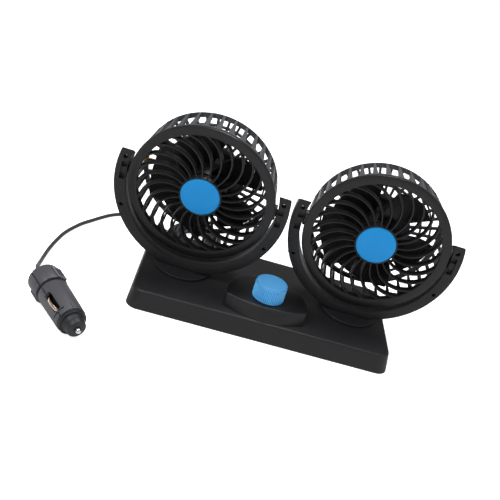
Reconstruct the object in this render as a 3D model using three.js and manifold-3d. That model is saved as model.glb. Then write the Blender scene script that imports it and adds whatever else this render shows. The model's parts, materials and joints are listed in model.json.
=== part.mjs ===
import * as THREE from 'three';
import { mergeVertices } from 'three/addons/utils/BufferGeometryUtils.js';
import Module from 'manifold-3d';

// A pair of small fans on one base, with a plug lead lying behind and beside it.
// Millimetres, +Z up, the fans face -Y, the origin is the middle of the pad's underside.

// Driving dimensions of the two fans
const wall = 2.2;
const clearance = 0.3;
const overrun = 1;
const bezelRadius = 56;
const bezelWidth = 7;
const bezelOpening = bezelRadius - bezelWidth;
const bezelFront = 10;
const hubRadius = 16.2;
const cageRear = 23.5;
const yokeGap = 2;
const yokeArm = 8.8;
const yokeRadius = bezelRadius + yokeGap + yokeArm;
const yokeDepth = 16;
const ribCount = 24;
const windowCount = 36;
const bladeCount = 5;
const shaftRadius = 1;

// Driving dimensions of the base
const betweenFans = 2.4;
const swivelSpan = yokeRadius * 2 + betweenFans;
const baseMargin = 33.5;
const baseLength = swivelSpan + baseMargin * 2;
const baseDepth = 108.2;
const baseRim = 0.5;
const baseTop = 15.5;
const baseDraft = 2.4;
const baseCorner = 10;
const baseEdge = 1.2;
const tableThickness = 1.8;
const tableTop = baseTop + clearance + tableThickness;
const yokeFlatCut = 1;
const pivotHeight = tableTop + yokeRadius - yokeFlatCut;

// Driving dimensions of the lead and plug
const cordRadius = 1.5;
const coilSetback = 37.5;
const coilX = coilSetback - baseLength / 2;
const coilBehind = 27.9;
const coilY = baseDepth / 2 + coilBehind;
const coilOuter = 23.75;
const coilTurnPitch = 3.5;
const coilLayerPitch = 3.5;
const coilTurns = 8;

// Resting pose, in degrees
const leftYaw = -4.9;
const rightYaw = -2.82;
const leftTilt = 9.25;
const rightTilt = 3.7;
const leftBladeTurn = -42;
const rightBladeTurn = -20;
const knobTurn = 35;

// Facets and tolerances
const mergeDistance = 0.0001;
const screwFacets = 6;
const thinFacets = 8;
const smallFacets = 12;
const midFacets = 18;
const plugFacets = 12;
const cupFacets = 14;
const radians = Math.PI / 180;
const quarter = Math.PI / 2;

// Colours and finishes
const finish = (color, roughness, metalness) => new THREE.MeshStandardMaterial({ color, roughness, metalness });
const charcoal = finish(0x25262a, 0.55, 0);
const grilleBlack = finish(0x202124, 0.42, 0);
const cageBlack = finish(0x3a3c3f, 0.4, 0);
const badgeBlue = finish(0x1e87cd, 0.4, 0);
const knobBlue = finish(0x4ba0dc, 0.5, 0);
const plugGrey = finish(0x4b4c50, 0.5, 0);
const noseGrey = finish(0x35373c, 0.4, 0);
const steel = finish(0xb9b8b4, 0.3, 1);
const brass = finish(0xb9a46a, 0.35, 1);
const glass = finish(0xcfd6da, 0.1, 0);
const cordBlack = finish(0x46484c, 0.5, 0);
const foam = finish(0x1b1b1c, 0.9, 0);
const leadYellow = finish(0xa8812c, 0.5, 0);

// Closed geometry
const wasm = await Module();
wasm.setup();

function closed(geometry) {
  geometry.deleteAttribute('normal');
  geometry.deleteAttribute('uv');
  const merged = mergeVertices(geometry, mergeDistance);
  const index = merged.index.array;
  const corner = merged.attributes.position;
  const a = new THREE.Vector3();
  const b = new THREE.Vector3();
  const c = new THREE.Vector3();
  const kept = [];
  let volume = 0;
  for (let i = 0; i < index.length; i += 3) {
    const [p, q, r] = [index[i], index[i + 1], index[i + 2]];
    if (p === q || q === r || r === p) continue;
    kept.push(p, q, r);
    a.fromBufferAttribute(corner, p);
    b.fromBufferAttribute(corner, q);
    c.fromBufferAttribute(corner, r);
    volume += a.dot(b.cross(c));
  }
  if (volume < 0) kept.reverse();
  merged.setIndex(kept);
  return merged;
}

// Turns an outline of [radius, height] pairs about Z
function turned(outline, facets, open = false) {
  const points = outline.map(([radius, height]) => new THREE.Vector2(radius, height));
  if (open === false) points.push(points[0].clone());
  const geometry = new THREE.LatheGeometry(points, facets);
  geometry.rotateX(quarter);
  return closed(geometry);
}

// A solid from rings of corners, each with the same even count, closed at both ends
function lofted(rings) {
  const count = rings[0].length;
  const corners = rings.flat().flatMap((p) => [p.x, p.y, p.z]);
  const faces = [];
  for (let k = 0; k + 1 < rings.length; k += 1) {
    for (let i = 0; i < count; i += 1) {
      const near = k * count + i;
      const next = k * count + ((i + 1) % count);
      faces.push(near, next, next + count, near, next + count, near + count);
    }
  }
  const last = (rings.length - 1) * count;
  for (let i = 0; i + 1 < count / 2; i += 1) {
    const far = count - 1 - i;
    faces.push(i, far, far - 1, i, far - 1, i + 1);
    faces.push(last + i, last + far - 1, last + far, last + i, last + i + 1, last + far - 1);
  }
  const geometry = new THREE.BufferGeometry();
  geometry.setAttribute('position', new THREE.Float32BufferAttribute(corners, 3));
  geometry.setIndex(faces);
  return closed(geometry);
}

function block(width, depth, height) {
  return closed(new THREE.BoxGeometry(width, depth, height));
}

function rod(radius, from, to, facets = thinFacets) {
  return turned([[0, from], [radius, from], [radius, to], [0, to]], facets, true);
}

// A round tube along a list of places
function cordTube(places, radius, sides, steps) {
  const section = new THREE.Shape();
  for (let i = 0; i < sides; i += 1) {
    const angle = (i / sides) * Math.PI * 2;
    const x = radius * Math.cos(angle);
    const y = radius * Math.sin(angle);
    if (i === 0) section.moveTo(x, y);
    else section.lineTo(x, y);
  }
  const path = new THREE.CatmullRomCurve3(places.map((p) => new THREE.Vector3(...p)), false, 'centripetal');
  return closed(new THREE.ExtrudeGeometry(section, { steps, extrudePath: path, bevelEnabled: false }));
}

function moved(geometry, x, y, z) {
  return geometry.clone().translate(x, y, z);
}

// Cuts and joins
function solid(geometry) {
  const vertProperties = new Float32Array(geometry.attributes.position.array);
  const triVerts = new Uint32Array(geometry.index.array);
  return new wasm.Manifold(new wasm.Mesh({ numProp: 3, vertProperties, triVerts }));
}

function shaped(body) {
  const mesh = body.getMesh();
  const geometry = new THREE.BufferGeometry();
  geometry.setAttribute('position', new THREE.BufferAttribute(mesh.vertProperties, 3));
  geometry.setIndex(new THREE.BufferAttribute(mesh.triVerts, 1));
  return geometry;
}

function joined(...geometries) {
  return shaped(geometries.map(solid).reduce((sum, next) => sum.add(next)));
}

function cut(geometry, ...tools) {
  return shaped(tools.map(solid).reduce((rest, tool) => rest.subtract(tool), solid(geometry)));
}

const whole = new THREE.Group();
function piece(name, geometry, material, parent = whole) {
  const mesh = new THREE.Mesh(geometry, material);
  mesh.name = name;
  parent.add(mesh);
  return mesh;
}

// Outline of the base at one height, drawn in by an inset
const cornerFacets = 3;
function baseRing(height, inset) {
  const drawn = inset + (baseDraft * (height - baseRim)) / (baseTop - baseRim);
  const halfX = baseLength / 2 - drawn;
  const halfY = baseDepth / 2 - drawn;
  const corner = Math.max(baseCorner - drawn, clearance);
  const ring = [];
  for (const [quarterTurn, sx, sy] of [[0, 1, 1], [1, -1, 1], [2, -1, -1], [3, 1, -1]]) {
    for (let i = 0; i <= cornerFacets; i += 1) {
      const angle = (quarterTurn + i / cornerFacets) * quarter;
      const x = sx * (halfX - corner) + corner * Math.cos(angle);
      const y = sy * (halfY - corner) + corner * Math.sin(angle);
      ring.push(new THREE.Vector3(x, y, height));
    }
  }
  return ring;
}

// Outline of the raised control pod at one height
const podRadius = 31;
const podCentre = -30.5;
const podTop = 26;
const podSideTop = 39.5;
const podApexTop = 47;
const podSideLean = 1.5;
const podApexLean = 3.9;
const podEdge = 0.6;
const podBackFacets = 8;
const podFrontFacets = 6;
function podRing(height, inset) {
  const down = (podTop - height) / (podTop - baseTop);
  const side = podSideTop + podSideLean * down - inset;
  const apex = podApexTop + podApexLean * down - inset;
  const radius = podRadius - inset;
  const ring = [];
  for (let i = 0; i <= podBackFacets; i += 1) {
    const angle = (i / podBackFacets) * Math.PI;
    ring.push(new THREE.Vector3(radius * Math.cos(angle), podCentre + radius * Math.sin(angle), height));
  }
  for (let i = 0; i <= podFrontFacets; i += 1) {
    const across = (2 * i) / podFrontFacets - 1;
    const y = -side - (apex - side) * (1 - across * across);
    ring.push(new THREE.Vector3(radius * across, y, height));
  }
  return ring;
}

// Base shell, a hollow tray turned upside down with bosses and posts under its top
const ceiling = baseTop - wall;
const spigotRadius = 9.7;
const bossOuter = 14.5;
const bossBottom = 9.5;
const coverTop = 3.3;
const coverBottom = 1.3;
const postInset = 13.5;
const postX = baseLength / 2 - postInset;
const postSetback = 14.1;
const postY = baseDepth / 2 - postSetback;
const postRadius = 3.6;
const screwShank = 1.2;
const screwTop = 11;
const knobY = -30;
const bushRadius = 3.5;
const glandZ = 5;
const glandX = coilX - coilOuter;
const glandNeck = 2.3;
const topFillet = [[0.3, 0.3], [1, 1]];
const podFillet = [[0, 1], [1, 0]];
const baseRings = [baseRing(baseRim, 0), baseRing(baseTop - baseEdge, 0)];
for (const [insetShare, dropShare] of topFillet) {
  baseRings.push(baseRing(baseTop - baseEdge * (1 - dropShare), baseEdge * insetShare));
}
const podRings = [podRing(ceiling, 0)];
for (const [insetShare, dropShare] of podFillet) {
  podRings.push(podRing(podTop - podEdge * dropShare, podEdge * insetShare));
}
const swivelX = swivelSpan / 2;
const posts = [];
const postHoles = [];
for (const [sx, sy] of [[-1, -1], [1, -1], [1, 1], [-1, 1]]) {
  const post = rod(postRadius, coverTop + clearance, ceiling + overrun, screwFacets);
  posts.push(moved(post, sx * postX, sy * postY, 0));
  const hole = rod(screwShank + clearance, coverTop - overrun, screwTop + clearance, screwFacets);
  postHoles.push(moved(hole, sx * postX, sy * postY, 0));
}
const bosses = [-swivelX, swivelX].map((x) => moved(rod(bossOuter, bossBottom, ceiling + overrun, midFacets), x, 0, 0));
const swivelHole = rod(spigotRadius + clearance, bossBottom - overrun, baseTop + overrun, midFacets);
const swivelHoles = [-swivelX, swivelX].map((x) => moved(swivelHole, x, 0, 0));
const bushHole = moved(rod(bushRadius + clearance, ceiling, podTop + overrun), 0, knobY, 0);
const glandHole = rod(glandNeck + clearance, -wall * 2, wall * 2);
glandHole.rotateX(-quarter);
const backWall = baseDepth / 2 - (baseDraft * (glandZ - baseRim)) / (baseTop - baseRim);
glandHole.translate(glandX, backWall - wall / 2, glandZ);
const hollow = lofted([baseRing(baseRim - overrun, wall), baseRing(ceiling, wall)]);
const podHollow = lofted([podRing(ceiling - overrun, wall), podRing(podTop - wall, wall)]);
const tray = cut(joined(lofted(baseRings), lofted(podRings)), hollow, podHollow);
const shell = cut(joined(tray, ...posts, ...bosses), ...postHoles, ...swivelHoles, bushHole, glandHole);
piece('base_shell', shell, charcoal);

// Base cover with its four screws, and the sticky pad under it
const headRadius = 2.8;
const headThickness = 1;
const sinkDepth = headThickness + clearance * 2;
const glandFlange = 3.3;
const coverInset = wall + clearance;
let cover = lofted([baseRing(coverBottom, coverInset), baseRing(coverTop, coverInset)]);
const coverCuts = [];
for (const [sx, sy] of [[-1, -1], [1, -1], [1, 1], [-1, 1]]) {
  const through = rod(screwShank + clearance, coverBottom - overrun, coverTop + overrun, screwFacets);
  const sink = rod(headRadius + clearance, coverBottom - overrun, coverBottom + sinkDepth - clearance, screwFacets);
  coverCuts.push(moved(through, sx * postX, sy * postY, 0), moved(sink, sx * postX, sy * postY, 0));
}
const notchDepth = 5;
const notch = block(2 * (glandFlange + clearance), notchDepth, coverTop * 2);
notch.translate(glandX, backWall - wall - notchDepth / 2, coverTop);
cover = cut(cover, ...coverCuts, notch);
piece('base_cover', cover, charcoal);
const screwHeadTop = coverBottom + sinkDepth - clearance * 2;
const screwOutline = [
  [0, screwHeadTop - headThickness],
  [headRadius, screwHeadTop - headThickness],
  [headRadius, screwHeadTop],
  [screwShank, screwHeadTop],
  [screwShank, screwTop],
  [0, screwTop],
];
[[-1, -1], [1, -1], [1, 1], [-1, 1]].forEach(([sx, sy], i) => {
  piece(`cover_screw_${i + 1}`, turned(screwOutline, screwFacets, true), steel)
    .position.set(sx * postX, sy * postY, 0);
});
const padLength = 150;
const padDepth = 70;
const padThickness = 1;
piece('adhesive_pad', block(padLength, padDepth, padThickness), foam).position.z = padThickness / 2;

// Speed switch under the pod
const switchWidth = 22;
const switchDepth = 22;
const switchHeight = 12;
const switchTop = podTop - wall - clearance;
const spindleRadius = 2.4;
const spindleFoot = 15;
const spindleTop = 35.5;
const switchBody = moved(block(switchWidth, switchDepth, switchHeight), 0, 0, switchTop - switchHeight / 2);
const bush = rod(bushRadius, switchTop - overrun, podTop);
const spindleBore = rod(spindleRadius + clearance, spindleFoot - clearance, podTop + overrun);
piece('switch_body', cut(joined(switchBody, bush), spindleBore), charcoal).position.y = knobY;

// Knob and its spindle
const knobRadius = 12.3;
const knobBottom = podTop + clearance;
const knobHeight = 12.8;
const knobTop = knobBottom + knobHeight;
const knobEdge = 1.1;
const knobWall = 1.9;
const knobBoss = 5;
const knob = new THREE.Group();
knob.position.y = knobY;
knob.rotation.z = knobTurn * radians;
whole.add(knob);
const knobOutline = [
  [0, knobTop],
  [knobRadius - knobEdge, knobTop],
  [knobRadius, knobTop - knobEdge],
  [knobRadius, knobBottom],
  [knobRadius - knobWall, knobBottom],
  [knobRadius - knobWall, knobTop - knobWall],
  [knobBoss, knobTop - knobWall],
  [knobBoss, knobBottom + clearance],
  [spindleRadius + clearance, knobBottom + clearance],
  [spindleRadius + clearance, spindleTop + clearance],
  [0, spindleTop + clearance],
];
piece('knob', turned(knobOutline, midFacets, true), knobBlue, knob);
piece('switch_shaft', rod(spindleRadius, spindleFoot, spindleTop), steel, knob);

// Turntable under each fan, held down by a ring nut under the base
const tableRadius = 22.5;
const tableBottom = baseTop + clearance;
const spigotBottom = 5.8;
const wireBore = 5;
const nutOuter = 13.5;
const nutThickness = 3;
const tableOutline = [
  [wireBore, tableTop],
  [tableRadius - clearance, tableTop],
  [tableRadius, tableTop - clearance],
  [tableRadius, tableBottom],
  [spigotRadius, tableBottom],
  [spigotRadius, spigotBottom],
  [wireBore, spigotBottom],
];
const nutTop = bossBottom - clearance;
const nutOutline = [
  [spigotRadius + clearance, nutTop],
  [nutOuter, nutTop],
  [nutOuter, nutTop - nutThickness],
  [spigotRadius + clearance, nutTop - nutThickness],
];

// Yoke outline, a half ring open at the top, drawn as seen from the front
const yokeInnerX = bezelRadius + yokeGap;
const yokeRise = 2.5;
const yokeInnerY = yokeInnerX + yokeRise;
const armTop = 16.6;
const armChamfer = 1.8;
const yokeFlat = pivotHeight - tableTop - clearance;
const yokeEdge = 0.6;
const yokeTaper = 1.5;
const yokeFacets = 18;
function yokeRing(height, outerInset, innerInset) {
  const radius = yokeRadius - outerInset;
  const top = armTop - innerInset;
  const flat = yokeFlat - innerInset;
  const halfX = yokeInnerX + innerInset;
  const halfY = yokeInnerY + innerInset;
  const outer = [new THREE.Vector3(Math.sqrt(radius ** 2 - top ** 2) - armChamfer, top, height)];
  const inner = [new THREE.Vector3(halfX * Math.sqrt(1 - (top / halfY) ** 2), top, height)];
  const outerStart = Math.asin((top - armChamfer) / radius);
  const innerStart = Math.asin((top - armChamfer) / halfY);
  for (let i = 0; i <= yokeFacets; i += 1) {
    const turn = i / yokeFacets;
    const outerAngle = outerStart - turn * (Math.PI + 2 * outerStart);
    const innerAngle = innerStart - turn * (Math.PI + 2 * innerStart);
    const y = Math.max(radius * Math.sin(outerAngle), -flat);
    outer.push(new THREE.Vector3(radius * Math.cos(outerAngle), y, height));
    inner.push(new THREE.Vector3(halfX * Math.cos(innerAngle), halfY * Math.sin(innerAngle), height));
  }
  outer.push(outer[0].clone().setX(-outer[0].x));
  inner.push(inner[0].clone().setX(-inner[0].x));
  return [...outer, ...inner.reverse()];
}

// Tilt pins, pockets and screw holes of the yoke
const pinRadius = 3;
const pinOverlap = 4.5;
const pinReachOut = 6.2;
const pinInner = yokeInnerX - pinOverlap;
const pinOuter = yokeInnerX + pinReachOut;
const upperScrewX = yokeInnerX + 3;
const upperScrewY = 9.9;
const lowerScrewRadius = yokeRadius - 3.51928;
const lowerScrewAngle = Math.atan(-0.5);
const lowerScrewX = lowerScrewRadius * Math.cos(lowerScrewAngle);
const lowerScrewY = lowerScrewRadius * Math.sin(lowerScrewAngle);
const upperSink = 1.75;
const lowerSink = 1.45;
const screwSpots = [[upperScrewX, upperScrewY, upperSink], [lowerScrewX, lowerScrewY, lowerSink]];
const yokeScrewShank = 0.8;
const yokeScrewSink = 3;
const yokeScrewHead = 1.5;
const yokeScrewTip = -6;
const pocketX = yokeInnerX + 2.5;
const pocketWidth = 4.4;
const pocketTop = 5.5;
const pocketBottom = -8.2;
const pocketDepth = 1;
const catchHeight = 4.2;
const catchDepth = 3;
const nubSize = 1.4;
const nubAngle = 206 * radians;
const frontFace = yokeDepth / 2;
const split = clearance / 2;

function pinTool(radius, from, to) {
  const tool = rod(radius, from, to, smallFacets);
  tool.rotateY(quarter);
  return tool;
}

function yokeFront(nubSide) {
  const rings = [yokeRing(split, 0, 0), yokeRing(frontFace, 0, 0)];
  const nub = block(nubSize, nubSize, nubSize * 2);
  nub.translate(nubSide * yokeRadius * Math.cos(nubAngle), yokeRadius * Math.sin(nubAngle), frontFace / 2);
  const tools = [];
  for (const side of [-1, 1]) {
    tools.push(pinTool(pinRadius + clearance, side * (yokeInnerX - wall * 2), side * (pinOuter + clearance)));
    for (const [x, y, sink] of screwSpots) {
      const seat = frontFace - yokeScrewSink - yokeScrewHead - clearance;
      tools.push(moved(rod(sink, seat, frontFace + overrun, thinFacets), side * x, y, 0));
      tools.push(moved(rod(yokeScrewShank + clearance, -overrun, frontFace, screwFacets), side * x, y, 0));
    }
    const long = pocketTop - pocketBottom;
    const recess = block(pocketWidth, long, pocketDepth * 2);
    tools.push(moved(recess, side * pocketX, pocketTop - long / 2, frontFace));
    for (const y of [pocketTop - catchHeight / 2, pocketBottom + catchHeight / 2]) {
      tools.push(moved(block(pocketWidth, catchHeight, catchDepth * 2), side * pocketX, y, frontFace));
    }
  }
  return cut(joined(lofted(rings), nub), ...tools);
}

function yokeBack() {
  const rings = [yokeRing(-split, 0, 0), yokeRing(-frontFace, yokeTaper, 0)];
  const tools = [];
  for (const side of [-1, 1]) {
    tools.push(pinTool(pinRadius + clearance, side * (yokeInnerX - wall * 2), side * (pinOuter + clearance)));
    for (const [x, y] of screwSpots) {
      const hole = rod(yokeScrewShank + clearance, yokeScrewTip - clearance, overrun, screwFacets);
      tools.push(moved(hole, side * x, y, 0));
    }
  }
  return cut(lofted(rings), ...tools);
}

function yokeScrew(sink) {
  const headTop = frontFace - yokeScrewSink;
  return turned([
    [0, headTop],
    [sink - clearance, headTop],
    [sink - clearance, headTop - yokeScrewHead],
    [yokeScrewShank, headTop - yokeScrewHead],
    [yokeScrewShank, yokeScrewTip],
    [0, yokeScrewTip],
  ], screwFacets, true);
}

// Front grille, a bezel ring and a hub joined by swept ribs
const bezelRear = 7;
const collarThickness = 1.6;
const collarRear = 4.6;
const hubFront = 11.8;
const hubDepth = 5.8;
const badgeRadius = 15;
const badgeThickness = 1.4;
const badgeProud = 0.3;
const ribDepth = 5.2;
const ribFrontDrop = 0.3;
const ribLean = 8.6 * radians;
const ribSweep = 30.6 * radians;
const ribRootWidth = 1;
const ribTipWidth = 1.6;
const ribSteps = 4;
const ribPhase = -7.3 * radians;
function sweptRib() {
  const root = new THREE.Vector2(0, (hubRadius + badgeRadius + clearance) / 2);
  const reach = bezelOpening + collarThickness * 0.45;
  const tip = new THREE.Vector2(-Math.sin(ribSweep), Math.cos(ribSweep)).multiplyScalar(reach);
  const across = new THREE.Vector2(-Math.cos(ribLean), Math.sin(ribLean));
  const chord = tip.clone().sub(root);
  const radius = chord.lengthSq() / (2 * chord.dot(across));
  const centre = root.clone().addScaledVector(across, radius);
  const start = root.clone().sub(centre).angle();
  const end = tip.clone().sub(centre).angle();
  const span = THREE.MathUtils.euclideanModulo(end - start, Math.PI * 2);
  const rings = [];
  for (let i = 0; i <= ribSteps; i += 1) {
    const t = i / ribSteps;
    const angle = start + span * t;
    const half = THREE.MathUtils.lerp(ribRootWidth, ribTipWidth, t) / 2;
    const front = THREE.MathUtils.lerp(hubFront - ribFrontDrop, bezelFront - ribFrontDrop, t);
    const at = (distance, height) => new THREE.Vector3(
      centre.x + distance * Math.cos(angle),
      centre.y + distance * Math.sin(angle),
      height,
    );
    const [near, far] = [radius - half, radius + half];
    rings.push([at(near, front), at(near, front - ribDepth), at(far, front - ribDepth), at(far, front)]);
  }
  return lofted(rings);
}

function frontGrille() {
  const collarOuter = bezelOpening + collarThickness;
  const bezel = turned([
    [bezelOpening, bezelFront],
    [bezelRadius, bezelFront],
    [bezelRadius, bezelRear],
    [collarOuter, bezelRear],
    [collarOuter, collarRear],
    [bezelOpening, collarRear],
  ], ribCount * 1.5);
  bezel.rotateZ(ribPhase + ribSweep + Math.PI / (ribCount * 3));
  const floor = hubFront + badgeProud - badgeThickness - clearance;
  const hub = turned([
    [0, floor],
    [badgeRadius + clearance, floor],
    [badgeRadius + clearance, hubFront],
    [hubRadius, hubFront],
    [hubRadius, hubFront - hubDepth],
    [0, hubFront - hubDepth],
  ], ribCount, true);
  const rib = sweptRib();
  const ribs = [];
  for (let i = 0; i < ribCount; i += 1) {
    ribs.push(rib.clone().rotateZ(ribPhase - (i / ribCount) * Math.PI * 2));
  }
  return joined(bezel, hub, ...ribs);
}

// Rear cage, a tapered basket with side windows, radial bars and the motor pocket
const cageOuter = bezelRadius - 0.8;
const flangeRear = 5;
const cageTail = cageOuter - 2;
const cageBend = 21.2;
const cageFlat = cageTail - 3;
const cageFloor = cageRear - wall;
const cupRadius = 25.5;
const cupBase = 22.5;
const cupRear = 27.5;
const cupWall = 1.5;
const motorRadius = 12.2;
const motorFit = 0.4;
const pocketRadius = motorRadius + motorFit;
const pocketWall = 2;
const pocketFront = 8;
const windowFront = 4;
const windowRear = 20.9;
const windowBar = 2.4;
const slotCount = windowCount / 2;
const slotInner = cupRadius + 1.5;
const slotOuter = cageFlat - 1.2;
const gridBar = 1.9;
const earRadius = 6;
const earGap = 0.9;
const earFace = yokeInnerX - earGap;
function rearCage() {
  const collar = bezelRear - clearance;
  const innerFlange = cageOuter - wall;
  const innerTail = cageTail - wall;
  const cupFloor = cupRear - cupWall;
  const floorInner = cupRadius - overrun;
  const basket = turned([
    [innerFlange, collar],
    [cageOuter, collar],
    [cageTail, -cageBend],
    [cageFlat, -cageRear],
    [floorInner, -cageRear],
    [floorInner, -cageFloor],
    [innerTail, -cageFloor],
    [innerFlange, flangeRear - yokeEdge],
  ], windowCount);
  const cup = turned([
    [cupRadius, -cageFloor - wall / 2],
    [cupRadius, -cageRear],
    [cupBase, -cupRear],
    [0, -cupRear],
    [0, -cupFloor],
    [pocketRadius, -cupFloor],
    [pocketRadius, -pocketFront],
    [pocketRadius + pocketWall, -pocketFront],
    [pocketRadius + pocketWall, -cupFloor],
    [cupBase - cupWall * 0.75, -cupFloor],
    [floorInner - overrun, -cageFloor - wall / 2],
  ], cupFacets);
  const tools = [];
  const length = windowFront + windowRear;
  const midRadius = (cageOuter + cageTail) / 2;
  const step = (Math.PI * 2) / windowCount;
  const windowWidth = midRadius * step - windowBar;
  for (let i = 0; i < windowCount; i += 1) {
    const opening = block(wall * 6, windowWidth, length);
    tools.push(opening.translate(midRadius, 0, windowFront - length / 2).rotateZ((i + 0.5) * step));
  }
  const half = Math.PI / slotCount;
  const nearHalf = slotInner * Math.tan(half) - gridBar / 2;
  const farHalf = slotOuter * Math.sin(half) - gridBar / 2;
  const farEnd = slotOuter * Math.cos(half);
  const slotRing = (height) => [
    new THREE.Vector3(slotInner, -nearHalf, height),
    new THREE.Vector3(farEnd, -farHalf, height),
    new THREE.Vector3(farEnd, farHalf, height),
    new THREE.Vector3(slotInner, nearHalf, height),
  ];
  const slot = lofted([slotRing(-cageRear - overrun), slotRing(-cageFloor + overrun)]);
  for (let i = 0; i < slotCount; i += 1) tools.push(slot.clone().rotateZ(i * half * 2));
  const inside = turned([
    [0, collar],
    [innerFlange, collar],
    [innerFlange, flangeRear - yokeEdge],
    [innerTail, -cageFloor],
    [0, -cageFloor],
  ], windowCount, true);
  const ears = [-1, 1].map((side) => pinTool(earRadius, side * (innerTail - wall), side * earFace));
  const ear = cut(joined(...ears), inside);
  const boreFrom = innerTail - wall;
  const bores = [-1, 1].map((side) => pinTool(pinRadius + clearance, side * boreFrom, side * (earFace + overrun)));
  const leadSlot = block(pocketWall * 3, leadGap * 2, leadGap * 2);
  leadSlot.translate(-pocketRadius - pocketWall / 2, 0, -leadStart);
  return cut(joined(cut(basket, ...tools), ear, cup), ...bores, leadSlot);
}

// Motor, its lead to the pin at the left, and its shaft
const motorRear = 25.7;
const motorFront = 1.5;
const motorBoss = 3.2;
const shaftRear = 22;
const shaftFront = 5.4;
const leadRadius = 1.2;
const leadGap = leadRadius + clearance;
const leadStart = 22.6;
const leadSides = 6;
const leadSteps = 12;
const leadFloor = cageFloor - leadGap;
const leadWallShare = 0.975;
const leadRoute = [
  [-pocketRadius + clearance * 0.4, 0, -leadStart],
  [-pocketRadius - pocketWall, 0, -leadStart],
  [-(pocketRadius + pocketWall + cupBase) / 2, 0, -leadStart + clearance * 3],
  [-cupBase, 0, -leadFloor - clearance],
  [-cupRadius - leadRadius / 2, 0, -leadFloor + clearance / 2],
  [-(cupRadius + slotOuter) / 2, 0, -leadFloor],
  [-slotOuter + leadRadius * 3, 0, -leadFloor + clearance / 2],
  [-slotOuter - leadRadius * 0.2, 0, -leadFloor + leadRadius * 2],
  [-(cageTail - wall) * leadWallShare - leadRadius / 4, 0, -cageBend / 2],
  [-(cageOuter - wall - leadGap) * leadWallShare, 0, -leadGap * 3],
  [-pinInner + leadRadius * 2.3, 0, -leadGap * 0.8],
  [-pinInner + leadRadius, 0, 0],
  [-pinInner + clearance, 0, 0],
];
const motorOutline = [
  [0, -shaftRear - clearance],
  [shaftRadius + clearance, -shaftRear - clearance],
  [shaftRadius + clearance, 0],
  [motorBoss, 0],
  [motorBoss, -motorFront],
  [motorRadius, -motorFront],
  [motorRadius, -motorRear],
  [0, -motorRear],
];

// Impeller, a hub cap with five broad swept blades
const skirtOuter = 17;
const skirtWall = 1.8;
const skirtRear = 14;
const capFront = 5;
const capRear = 3;
const bladeTip = bezelOpening - 6.7;
const bladeFront = 3.4;
const bladeRear = 17.6;
const bladeThickness = 1.6;
const bladeSteps = 4;
const bladeChord = 3;
const bladeRootDegrees = 70;
const bladeTipDegrees = 59;
const bladeLeadDegrees = 14.5;
const bladeBow = 0.45;
const bladeTipShare = [1, 1, 1, 1, 0.94];
function blade() {
  const rings = [];
  for (let i = 0; i <= bladeSteps; i += 1) {
    const t = i / bladeSteps;
    const radius = THREE.MathUtils.lerp(skirtOuter - skirtWall / 2, bladeTip, t);
    const span = THREE.MathUtils.lerp(bladeRootDegrees, bladeTipDegrees, t) * bladeTipShare[i] * radians;
    const middle = -bladeLeadDegrees * t * radians;
    const front = [];
    const rear = [];
    for (let j = 0; j <= bladeChord; j += 1) {
      const s = j / bladeChord;
      const angle = middle - span * (s - 0.5);
      const fall = s + bladeBow * s * (1 - s);
      const height = THREE.MathUtils.lerp(bladeFront, -bladeRear + bladeThickness, fall);
      const x = radius * Math.cos(angle);
      const y = radius * Math.sin(angle);
      front.push(new THREE.Vector3(x, y, height));
      rear.push(new THREE.Vector3(x, y, height - bladeThickness));
    }
    rings.push([...front, ...rear.reverse()]);
  }
  return lofted(rings);
}

function impeller() {
  const hub = turned([
    [shaftRadius + clearance, capFront],
    [skirtOuter, capFront],
    [skirtOuter, -skirtRear],
    [skirtOuter - skirtWall, -skirtRear],
    [skirtOuter - skirtWall, capRear],
    [shaftRadius + clearance, capRear],
  ], bladeCount * 3);
  const one = blade();
  const blades = [];
  for (let i = 0; i < bladeCount; i += 1) {
    blades.push(one.clone().rotateZ(quarter + (i / bladeCount) * Math.PI * 2));
  }
  return joined(hub, ...blades);
}

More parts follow.
